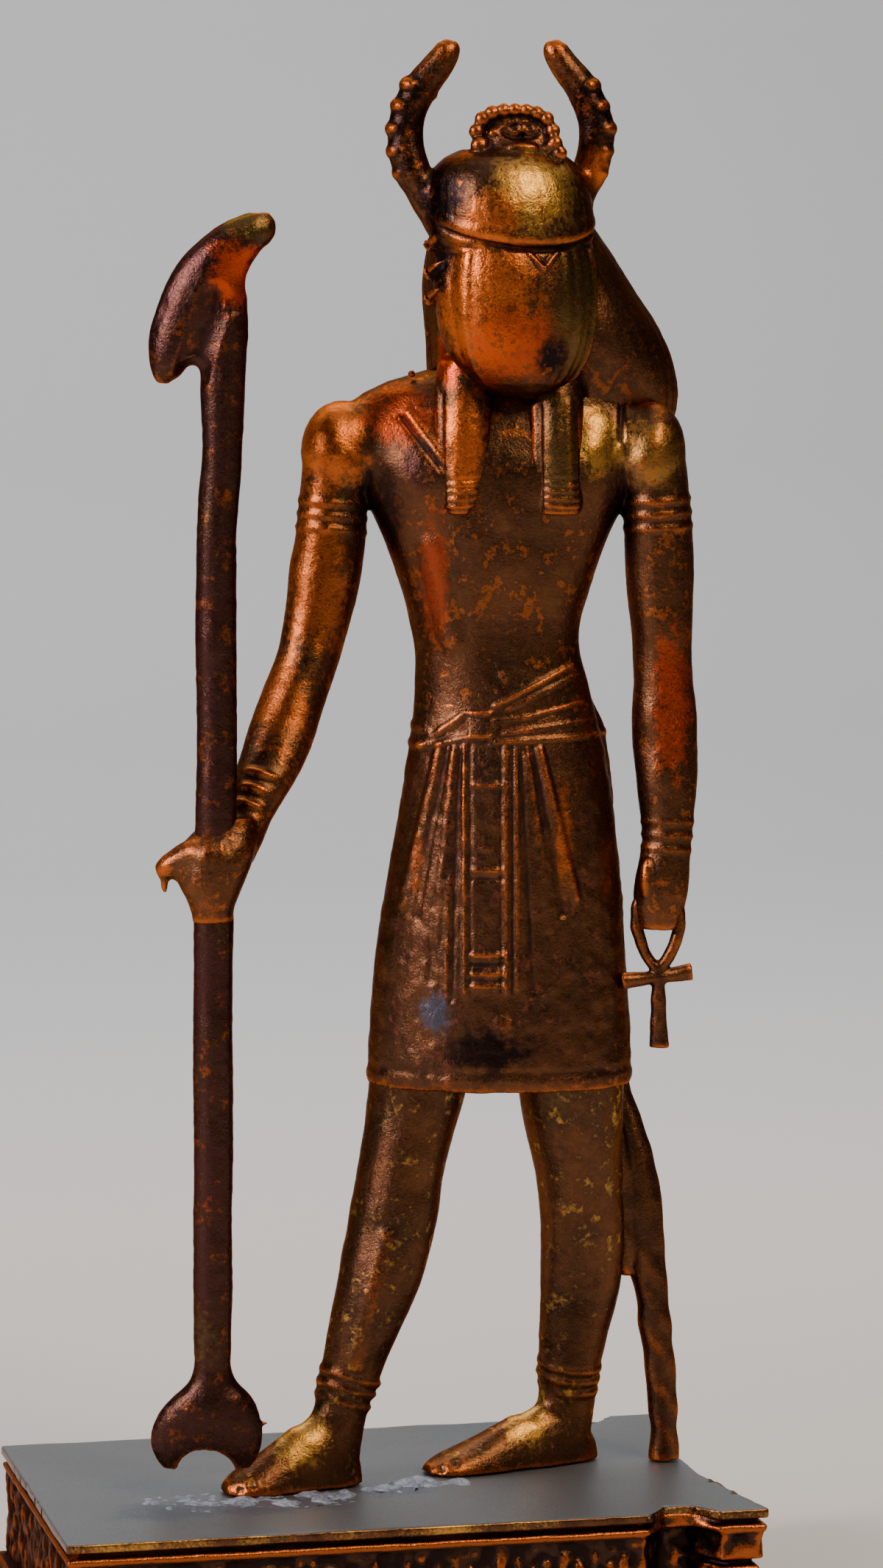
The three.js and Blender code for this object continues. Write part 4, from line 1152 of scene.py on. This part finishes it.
    def build(self) -> bpy.types.Object:
        """Fuses the levels below the lip and the strokes."""
        lip_bottom = self.height - self.lip
        wall_top = lip_bottom - self.recess
        capital = wall_top - 2.4
        parts = [
            self.slab(lip_bottom + 0.2, wall_top - 0.1, 0.6), self.slab(wall_top, wall_top - 0.4, 0.08),
            self.slab(wall_top - 0.3, capital, 0.35, 0.3, self.deep_notch),
            self.slab(capital + 0.1, capital - 0.6, 0.35, 0.95, self.deep_notch),
            self.slab(capital - 0.5, capital - 1.2, 0.35, 0.45, self.deep_notch),
            self.slab(capital - 1.1, 2.1, 0.35, 0.8, self.deep_notch),
            self.slab(2.4, 1.7, -0.4), self.slab(1.75, 0.0, -0.78),
        ]
        plinth = Bench.weld("plinth_block", parts + self.frieze(), 0.2, 1)
        Bench.thin(plinth, 190000)
        return plinth

    def relief(self, points: np.ndarray, normals: np.ndarray) -> np.ndarray:
        """Lumps on the walls and a wavering line under the lip."""
        wall = 1 - np.clip(np.abs(normals[:, 2]) * 2, 0, 1)
        low = step(-points[:, 2], -8.4, -8.1)
        height = wall * low * (waver(points, 0.9, 0.2, 3) + waver(points, 0.45, 0.1, 5))
        return height + wall * (1 - low) * waver(points, 0.7, 0.08, 6) - 0.02


@dataclass
class Residue:
    """The pale dried film of fixing matter round the forward foot."""

    patches: Sequence[tuple[float, float, float, float]] = (
        (-15.5, -8.3, 6.4, 2.0), (-20.2, -8.6, 4.2, 2.2), (-12.0, -6.9, 3.8, 1.1), (-17.6, -6.2, 2.6, 1.6),
        (-4.6, -3.2, 3.2, 1.5), (-7.4, -4.9, 2.2, 1.2), (-19.5, -10.6, 3.0, 0.9),
    )

    def build(self) -> bpy.types.Object:
        """Fuses flattened cakes, as deep as the film."""
        cake = Bench.ball((0, 0, 0), (1, 1, 1), 0, 24)
        rows = [((x, y, -0.13), (wide, deep, 0.3)) for x, y, wide, deep in self.patches]
        return Bench.weld("residue", Bench.copies(cake, rows), 0.12, 2)

    def relief(self, points: np.ndarray, normals: np.ndarray) -> np.ndarray:
        """A torn and pitted film, most of which sinks below the plinth's top."""
        return waver(points, 1.3, 0.3, 12) + waver(points, 0.4, 0.14, 19) - 0.12


# Finishes

class Value:
    """A node socket that takes part in sums, each of which adds a Math node."""

    def __init__(self, graph: "Graph", socket: bpy.types.NodeSocket) -> None:
        """Wraps a socket of a graph."""
        self.graph = graph
        self.socket = socket

    def __add__(self, other: "Value | float") -> "Value":
        """self + other."""
        return self.graph.math("ADD", self, other)

    def __radd__(self, other: "Value | float") -> "Value":
        """other + self."""
        return self.graph.math("ADD", other, self)

    def __sub__(self, other: "Value | float") -> "Value":
        """self - other."""
        return self.graph.math("SUBTRACT", self, other)

    def __rsub__(self, other: "Value | float") -> "Value":
        """other - self."""
        return self.graph.math("SUBTRACT", other, self)

    def __mul__(self, other: "Value | float") -> "Value":
        """self * other."""
        return self.graph.math("MULTIPLY", self, other)

    def __rmul__(self, other: "Value | float") -> "Value":
        """other * self."""
        return self.graph.math("MULTIPLY", other, self)

    def ramp(self, low: float, high: float, start: float = 0.0, end: float = 1.0) -> "Value":
        """Maps low..high smoothly to start..end."""
        return self.graph.node("ShaderNodeMapRange", {"interpolation_type": "SMOOTHSTEP"}, {
            0: self, 1: low, 2: high, 3: start, 4: end}, 0)

    def clamped(self) -> "Value":
        """The value held between 0 and 1."""
        return self.graph.node("ShaderNodeClamp", {}, {0: self}, 0)


class Graph:
    """A material's nodes."""

    def __init__(self, name: str) -> None:
        """Starts an empty material."""
        self.material = bpy.data.materials.new(name)
        self.material.use_nodes = True
        self.tree = self.material.node_tree
        self.tree.nodes.clear()

    def node(self, kind: str, settings: dict, inputs: dict, output: int | str) -> Value:
        """Adds a node.

        Args:
            kind: the node's type.
            settings: its settings, set first.
            inputs: values or links of its sockets, by index or name.
            output: which of its sockets to return.

        Returns:
            The output socket.
        """
        made = self.tree.nodes.new(kind)
        for key, setting in settings.items():
            setattr(made, key, setting)
        for key, given in inputs.items():
            if isinstance(given, Value):
                self.tree.links.new(given.socket, made.inputs[key])
            else:
                made.inputs[key].default_value = given
        return Value(self, made.outputs[output])

    def math(self, operation: str, *terms: Value | float) -> Value:
        """A Math node."""
        return self.node("ShaderNodeMath", {"operation": operation}, dict(enumerate(terms)), 0)

    def colour(self, share: Value | float, one: Value | Sequence[float], two: Value | Sequence[float]) -> Value:
        """A mix of two colours."""
        return self.node("ShaderNodeMix", {"data_type": "RGBA"}, {0: share, 6: one, 7: two}, 2)

    def noise(self, place: Value, scale: float, detail: float, rough: float = 0.5) -> Value:
        """A noise pattern's value."""
        return self.node("ShaderNodeTexNoise", {}, {
            "Vector": place, "Scale": scale, "Detail": detail, "Roughness": rough}, 0)

    def millimetres(self, at: Matrix) -> Value:
        """Places in millimetres in a piece's own frame."""
        back = at.inverted()
        place = self.node("ShaderNodeTexCoord", {}, {}, "Object")
        return self.node("ShaderNodeMapping", {"vector_type": "POINT"}, {
            "Vector": place, "Location": back.to_translation(), "Rotation": back.to_euler(),
            "Scale": back.to_scale()}, 0)

    def near(self, place: Value, middle: Point, reach: Point) -> Value:
        """A soft spot: 1 at its middle and 0 from its reach on."""
        away = self.node("ShaderNodeVectorMath", {"operation": "SUBTRACT"}, {0: place, 1: middle}, 0)
        away = self.node("ShaderNodeVectorMath", {"operation": "DIVIDE"}, {0: away, 1: reach}, 0)
        return self.node("ShaderNodeVectorMath", {"operation": "LENGTH"}, {0: away}, 1).ramp(1.15, 0.15)

    def surface(self, shader: Value) -> bpy.types.Material:
        """Gives the material its surface and returns it."""
        output = self.tree.nodes.new("ShaderNodeOutputMaterial")
        self.tree.links.new(shader.socket, output.inputs["Surface"])
        return self.material


class Tone(Enum):
    """The metal's colours, from bare to black; in some spots they are also laid on as painted highlights, painted
    reflections and painted shade.
    """

    ORANGE = (0.74, 0.17, 0.03, 1.0)
    RED = (0.60, 0.075, 0.018, 1.0)
    GOLD = (0.70, 0.36, 0.08, 1.0)
    BROWN = (0.16, 0.065, 0.03, 1.0)
    DARK = (0.065, 0.032, 0.022, 1.0)
    BLACK = (0.018, 0.012, 0.013, 1.0)
    OLIVE = (0.17, 0.105, 0.035, 1.0)
    PURPLE = (0.085, 0.034, 0.03, 1.0)
    BLUE_GREY = (0.10, 0.105, 0.15, 1.0)
    DUST = (0.10, 0.108, 0.115, 1.0)
    PALE = (0.30, 0.33, 0.42, 1.0)


@dataclass(frozen=True)
class Spot:
    """A place on a piece with a colour laid on it: some spots are the metal's own colour, others are painted
    highlights, painted reflections and painted shade.
    """

    tone: Tone
    middle: Point
    reach: Point
    strength: float = 1.0


@dataclass(frozen=True)
class Patina:
    """Copper plate under a worn dark patina, with spots of colour, some of which are painted highlights, painted
    reflections and painted shade.
    """

    name: str
    base: Tone = Tone.BROWN
    deep: Tone = Tone.DARK
    wear: float = 0.0
    spots: Sequence[Spot] = ()
    rough: float = 0.31
    frame: Matrix = field(default_factory=lambda: FIGURE_FRAME)

    def material(self) -> bpy.types.Material:
        """Makes the material.

        Returns:
            The material, on Object coordinates and the relief attribute.
        """
        graph = Graph(self.name)
        place = graph.millimetres(self.frame)
        large = graph.noise(place, 0.22, 3.0, 0.6)
        blotch = graph.noise(place, 0.75, 4.0, 0.62)
        mottle = graph.noise(place, 2.6, 3.0, 0.6)
        grain = graph.noise(place, 6.5, 2.0, 0.65)
        relief = graph.node("ShaderNodeAttribute", {"attribute_name": "relief"}, {}, "Fac")
        dark = (blotch * 0.5 + large * 0.5 + mottle * 0.25).ramp(0.5, 0.78)
        metal = graph.colour(dark, self.base.value, self.deep.value)
        metal = graph.colour((large * 0.6 + mottle * 0.4).ramp(0.54, 0.70, 0.0, 0.5), metal, Tone.OLIVE.value)
        # Each spot lays its colour over the patina; some are the metal's own colour, others are painted highlights,
        # painted reflections and painted shade.
        for spot in self.spots:
            share = graph.near(place, spot.middle, spot.reach)
            share = (share * 1.3 + (mottle - 0.5) * 1.6 + (blotch - 0.5) * 2.6 - 0.15).ramp(0.0, 0.95)
            metal = graph.colour(share * spot.strength, metal, spot.tone.value)
        worn = (relief * 10.0 + (mottle - 0.5) * 0.8 + (grain - 0.5) * 0.8 + self.wear).ramp(0.3, 1.1)
        metal = graph.colour(worn * 0.55, metal, Tone.ORANGE.value)
        sunk = (relief * -13.0 + (mottle - 0.5) * 0.5).ramp(0.22, 1.0)
        metal = graph.colour(sunk * 0.8, metal, Tone.BLACK.value)
        rough = (self.rough + (mottle - 0.5) * 0.2 + (grain - 0.5) * 0.45 + sunk * 0.18).clamped()
        pits = graph.noise(place, 3.4, 4.0, 0.75)
        bump = graph.node("ShaderNodeBump", {}, {
            "Strength": 0.5, "Distance": 0.00009, "Height": pits * 0.7 + grain * 0.6}, 0)
        return graph.surface(graph.node("ShaderNodeBsdfPrincipled", {}, {
            "Base Color": metal, "Roughness": rough, "Metallic": 0.97, "Normal": bump,
            "Specular Tint": (0.45, 0.34, 0.28, 1.0)}, 0))


@dataclass(frozen=True)
class Dusty:
    """The plinth's dark top under grey dust, with stains round the forward foot and worn edges."""

    name: str = "dusty_copper"
    stains: Sequence[tuple[Point, Point]] = (
        ((-9.5, -6.5, 10), (8.5, 4.5, 3)), ((-15.5, -6.8, 10), (6.5, 4.5, 3)), ((0.5, -4.2, 10), (4.5, 3.2, 3)),
    )

    def material(self) -> bpy.types.Material:
        """Makes the material.

        Returns:
            The material, on Object coordinates.
        """
        graph = Graph(self.name)
        place = graph.millimetres(PLINTH_FRAME)
        large = graph.noise(place, 0.16, 3.0, 0.55)
        blotch = graph.noise(place, 0.8, 5.0, 0.7)
        grain = graph.noise(place, 5.5, 2.0, 0.65)
        normal = graph.node("ShaderNodeTexCoord", {}, {}, "Normal")
        level = graph.node("ShaderNodeSeparateXYZ", {}, {0: normal}, 2).ramp(0.55, 0.97)
        metal = graph.colour(blotch.ramp(0.4, 0.7), Tone.BROWN.value, Tone.DARK.value)
        metal = graph.colour((large + (grain - 0.5) * 0.5).ramp(0.45, 0.75), metal, Tone.GOLD.value)
        stain: Value | float = 0.0
        for middle, reach in self.stains:
            stain = graph.math("MAXIMUM", stain, graph.near(place, middle, reach))
        stain = (stain + (blotch - 0.5) * 1.9 + (grain - 0.5) * 0.5 - 0.35).ramp(0.0, 0.6)
        dust = graph.colour((large + (blotch - 0.5) * 0.5).ramp(0.35, 0.7), Tone.DUST.value, (0.10, 0.10, 0.105, 1.0))
        dust = graph.colour(stain * 0.75, dust, (0.045, 0.055, 0.085, 1.0))
        colour = graph.colour(level, metal, dust)
        return graph.surface(graph.node("ShaderNodeBsdfPrincipled", {}, {
            "Base Color": colour, "Metallic": 0.95 - level * 0.55,
            "Roughness": (0.33 + level * 0.12 + (grain - 0.5) * 0.3).clamped(),
            "Normal": graph.node("ShaderNodeBump", {}, {
                "Strength": 0.4, "Distance": 0.00007, "Height": blotch * 0.6 + grain * 0.5}, 0)}, 0))


@dataclass(frozen=True)
class Film:
    """Dried pale blue-grey matter."""

    name: str = "dried_film"

    def material(self) -> bpy.types.Material:
        """Makes the material."""
        graph = Graph(self.name)
        place = graph.millimetres(FIGURE_FRAME)
        cloud = graph.noise(place, 1.1, 4.0, 0.65)
        grain = graph.noise(place, 5.0, 3.0, 0.6)
        colour = graph.colour((cloud * 0.6 + grain * 0.4).ramp(0.42, 0.62), (0.10, 0.12, 0.17, 1.0), Tone.PALE.value)
        return graph.surface(graph.node("ShaderNodeBsdfPrincipled", {}, {
            "Base Color": colour, "Roughness": (0.45 + (grain - 0.5) * 0.5).clamped(),
            "Normal": graph.node("ShaderNodeBump", {}, {
                "Strength": 0.6, "Distance": 0.0001, "Height": grain}, 0)}, 0))


@dataclass(frozen=True)
class Lamp:
    """A soft square light, placed by its bearing from the figure.

    Azimuth is in degrees to the camera's right as seen from the camera, and height is above level.
    """

    name: str
    azimuth: float
    height: float
    away: float
    size: float
    power: float
    colour: Point
    aim: Point = (0.0, 0.0, 0.06)

    def build(self) -> None:
        """Adds the light."""
        turn, rise = math.radians(self.azimuth) + FIGURE_TURN, math.radians(self.height)
        reach = Vector((math.sin(turn) * math.cos(rise), -math.cos(turn) * math.cos(rise), math.sin(rise)))
        at = Vector(self.aim) + reach * self.away
        Bench.clear()
        bpy.ops.object.light_add(type="AREA", location=at)
        lamp = bpy.context.object
        lamp.name = self.name
        lamp.data.shape = "SQUARE"
        lamp.data.size = self.size
        lamp.data.energy = self.power
        lamp.data.color = self.colour
        lamp.rotation_euler = (-reach).to_track_quat("-Z", "Y").to_euler()


@dataclass(frozen=True)
class Studio:
    """A pale floor that sweeps up behind, soft lights and the camera."""

    lens: float = 130.0
    camera_at: Point = (-0.07809, -0.36981, 0.09875)
    pitch: float = 6.25
    lamps: Sequence[Lamp] = (
        Lamp("cool_left", -58, 24, 0.55, 0.13, 2.6, (1.0, 0.88, 0.86)),
        Lamp("warm_right", 40, 42, 0.5, 0.15, 1.3, (1.0, 0.80, 0.48)),
        Lamp("overhead", 10, 82, 0.6, 0.5, 0.45, (0.96, 0.98, 1.0)),
        Lamp("behind", 180, 55, 0.5, 0.4, 0.4, (0.95, 0.97, 1.0)),
        Lamp("backdrop", 0, 60, 0.35, 0.5, 1.9, (0.97, 0.98, 1.0), (0.08, 0.46, 0.08)),
    )

    def floor(self) -> None:
        """The floor and the backdrop in one sweep."""
        Bench.clear()
        bpy.ops.mesh.primitive_plane_add(size=1)
        floor = bpy.context.object
        floor.name = "floor"
        Bench.edit()
        bpy.ops.transform.resize(value=(3.0, 1.5, 1), center_override=(0, 0, 0))
        bpy.ops.transform.translate(value=(0.05, -0.35, 0))
        Bench.leave()
        for face in floor.data.polygons:
            face.select = False
        for edge in floor.data.edges:
            edge.select = all(floor.data.vertices[k].co.y > 0.3 for k in edge.vertices)
        for vertex in floor.data.vertices:
            vertex.select = vertex.co.y > 0.3
        bpy.ops.object.mode_set(mode="EDIT")
        for move in ((0, 0.08, 0.01), (0, 0.06, 0.04), (0, 0.03, 0.07), (0, 0.01, 0.1), (0, 0, 0.9)):
            bpy.ops.mesh.extrude_region_move(TRANSFORM_OT_translate={"value": move})
        Bench.leave()
        bpy.ops.object.shade_smooth()
        graph = Graph("pale_floor")
        place = graph.node("ShaderNodeTexCoord", {}, {}, "Object")
        depth = graph.node("ShaderNodeSeparateXYZ", {}, {0: place}, 1)
        shade = graph.colour(depth.ramp(0.10, 0.34), (0.62, 0.59, 0.57, 1.0), (0.50, 0.51, 0.525, 1.0))
        floor.data.materials.append(graph.surface(graph.node("ShaderNodeBsdfPrincipled", {}, {
            "Base Color": shade, "Roughness": 0.85}, 0)))
        floor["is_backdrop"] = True

    def sky(self) -> None:
        """A dim room that the camera sees as pale as the backdrop."""
        world = bpy.data.worlds.new("room")
        bpy.context.scene.world = world
        world.use_nodes = True
        nodes, links = world.node_tree.nodes, world.node_tree.links
        seen = nodes.new("ShaderNodeLightPath")
        mix = nodes.new("ShaderNodeMix")
        mix.data_type = "RGBA"
        mix.inputs[6].default_value = (0.035, 0.036, 0.04, 1.0)
        mix.inputs[7].default_value = (0.36, 0.37, 0.385, 1.0)
        links.new(seen.outputs["Is Camera Ray"], mix.inputs[0])
        links.new(mix.outputs[2], nodes["Background"].inputs["Color"])

    def build(self) -> None:
        """Sets up the floor, the lights, the room and the camera."""
        self.floor()
        for lamp in self.lamps:
            lamp.build()
        self.sky()
        Bench.clear()
        turn = (math.radians(90 - self.pitch), 0, FIGURE_TURN)
        bpy.ops.object.camera_add(location=self.camera_at, rotation=turn)
        camera = bpy.context.object
        camera.data.sensor_fit = "VERTICAL"
        camera.data.sensor_height = 36.0
        camera.data.lens = self.lens
        camera.data.clip_start = 0.01
        bpy.context.scene.camera = camera


BOX: Sequence[Sequence[float]] = ((-1, -1, 0), (1, 1, 1))


def main() -> None:
    """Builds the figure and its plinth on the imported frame."""
    global BOX
    logging.basicConfig(level=logging.INFO, format="%(name)s: %(message)s")
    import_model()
    BOX = [list(corner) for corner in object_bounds()]
    Studio().build()
    limbs = Patina("limb_copper", spots=(
        Spot(Tone.ORANGE, (-11.6, -2, 71), (4.2, 5, 5), 0.8), Spot(Tone.ORANGE, (-12.3, -2, 61), (2.6, 3, 9), 0.55),
        Spot(Tone.ORANGE, (-14.5, -3, 52), (2.8, 3, 7), 0.5), Spot(Tone.RED, (-7.0, -3, 72.5), (3.6, 4, 3), 0.8),
        # The GOLD spot on this line is a painted reflection of the warm right lamp on the right of the chest.
        Spot(Tone.PURPLE, (-5.4, -4.2, 68.8), (1.9, 3, 2.2), 0.9), Spot(Tone.GOLD, (6.5, -3, 70.5), (2.6, 3, 3.2), 0.85),
        # The second RED spot on this line is a painted highlight strip down the left of the belly.
        Spot(Tone.RED, (11.6, -2, 53), (1.9, 3, 6.5), 0.9), Spot(Tone.RED, (-4.4, -3, 61.5), (1.3, 3, 6), 0.5),
        # The GOLD spot on this line is a painted reflection of the warm right lamp on the shoulder; the BLACK spots
        # here and on the next line are painted shade in the armpits.
        Spot(Tone.GOLD, (10.3, -2, 69.5), (3, 3, 3), 0.4), Spot(Tone.BLACK, (-7.6, -2, 65.5), (1.6, 4, 4), 0.7),
        Spot(Tone.BLACK, (7.6, -2, 66.0), (1.2, 4, 4), 0.6)))
    head = Patina("head_copper", base=Tone.BROWN, wear=0.05, spots=(
        Spot(Tone.ORANGE, (-1.3, -7, 79.6), (5.4, 6, 6.4), 1.0), Spot(Tone.RED, (0.5, -7, 77.0), (4.4, 5, 3.5), 0.7),
        # Both spots on this line are painted highlights on the neck shield: the GOLD one from the warm right lamp, the
        # ORANGE one where the left lamp's highlight falls.
        Spot(Tone.GOLD, (2.4, -7, 87.0), (4.4, 5, 3.6), 0.9), Spot(Tone.ORANGE, (-0.6, -7, 85.3), (2.6, 4, 2.4), 0.8),
        # The OLIVE spot on this line is a painted reflection of the warm right lamp on the right of the wing cases.
        Spot(Tone.OLIVE, (5.0, -5, 79.5), (2.6, 4, 6), 0.9), Spot(Tone.BLACK, (-4.4, -5, 82.5), (2.1, 4, 3.8), 1.0),
        Spot(Tone.BLACK, (3.5, -6.5, 76.1), (1.7, 2.5, 1.9), 1.0), Spot(Tone.BLACK, (-4.0, -6, 86.6), (2.6, 5, 3), 1.0),
        Spot(Tone.BLACK, (-6.2, -4, 92), (2.2, 4, 6), 0.85), Spot(Tone.BLACK, (6.2, -1, 93.0), (2.4, 4, 4.5), 0.9),
        Spot(Tone.ORANGE, (6.3, -1.5, 88.3), (1.6, 3, 1.8), 0.8)))
    pieces = (
        # Both GOLD spots on the feet are painted highlights on the insteps.
        (Legs(), Patina("leg_copper", spots=(Spot(Tone.GOLD, (-13.5, -5, 3.6), (2.4, 3, 3), 0.7),
                                             Spot(Tone.GOLD, (2.0, 1.0, 3.6), (2.4, 3, 3), 0.8)))),
        (Kilt(), Patina("kilt_copper", spots=(
            Spot(Tone.BLUE_GREY, (-4.4, -4.5, 32.3), (1.5, 2, 2.0), 0.9),
            # The two ORANGE spots on this line are painted highlights along the edges of the pleats.
            Spot(Tone.ORANGE, (-5.6, -4.5, 42), (0.8, 2, 5), 0.6), Spot(Tone.ORANGE, (4.3, -4.5, 44), (0.8, 2, 5), 0.6),
            # The BLACK spot on this line is a painted shadow under the apron's hanging end.
            Spot(Tone.BLACK, (-0.6, -5, 29.8), (3.6, 2, 2.0), 0.9)))),
        (Torso(), limbs), (Tail(), Patina("tail_copper")),
        (Staff(), Patina("staff_copper", base=Tone.PURPLE, deep=Tone.DARK, wear=-0.15, spots=(
            # The OLIVE spot on this line is a painted highlight along the top ridge of the staff's head.
            Spot(Tone.RED, (-17.3, -9, 81.6), (2.3, 2, 3.4), 1.0), Spot(Tone.OLIVE, (-16.2, -9, 84.9), (3, 2, 1.6), 0.8)))),
        (Ankh(), Patina("ankh_copper")),
        (Wig(), Patina("wig_copper", spots=(
            Spot(Tone.ORANGE, (-2.4, -4.5, 70.5), (1.9, 3, 5.5), 0.95), Spot(Tone.RED, (-3.6, -2, 76), (2, 4, 3), 0.9),
            # The BLACK spot on this line is painted shade at the inner edges of the lappets; the OLIVE spot is a
            # painted reflection of the warm right lamp on the far lappet.
            Spot(Tone.BLACK, (0.7, -3.5, 69), (1.7, 3, 5), 0.8), Spot(Tone.OLIVE, (4.0, -4.0, 70), (1.8, 3, 5), 0.7)))),
        (Beetle(), head),
    )
    for part, patina in pieces:
        finish(part.build(), part.relief, FIGURE_FRAME, patina.material(), Body.FIGURE)
    plinth = Plinth()
    finish(plinth.build(), plinth.relief, PLINTH_FRAME,
           Patina("plinth_copper", base=Tone.DARK, frame=PLINTH_FRAME, wear=0.1).material(), Body.PLINTH)
    finish(plinth.top(), plinth.top_relief, PLINTH_FRAME, Dusty().material(), Body.PLINTH)
    film = Residue()
    finish(film.build(), film.relief, FIGURE_FRAME, Film().material(), Body.PLINTH)


if __name__ == "__main__":
    main()
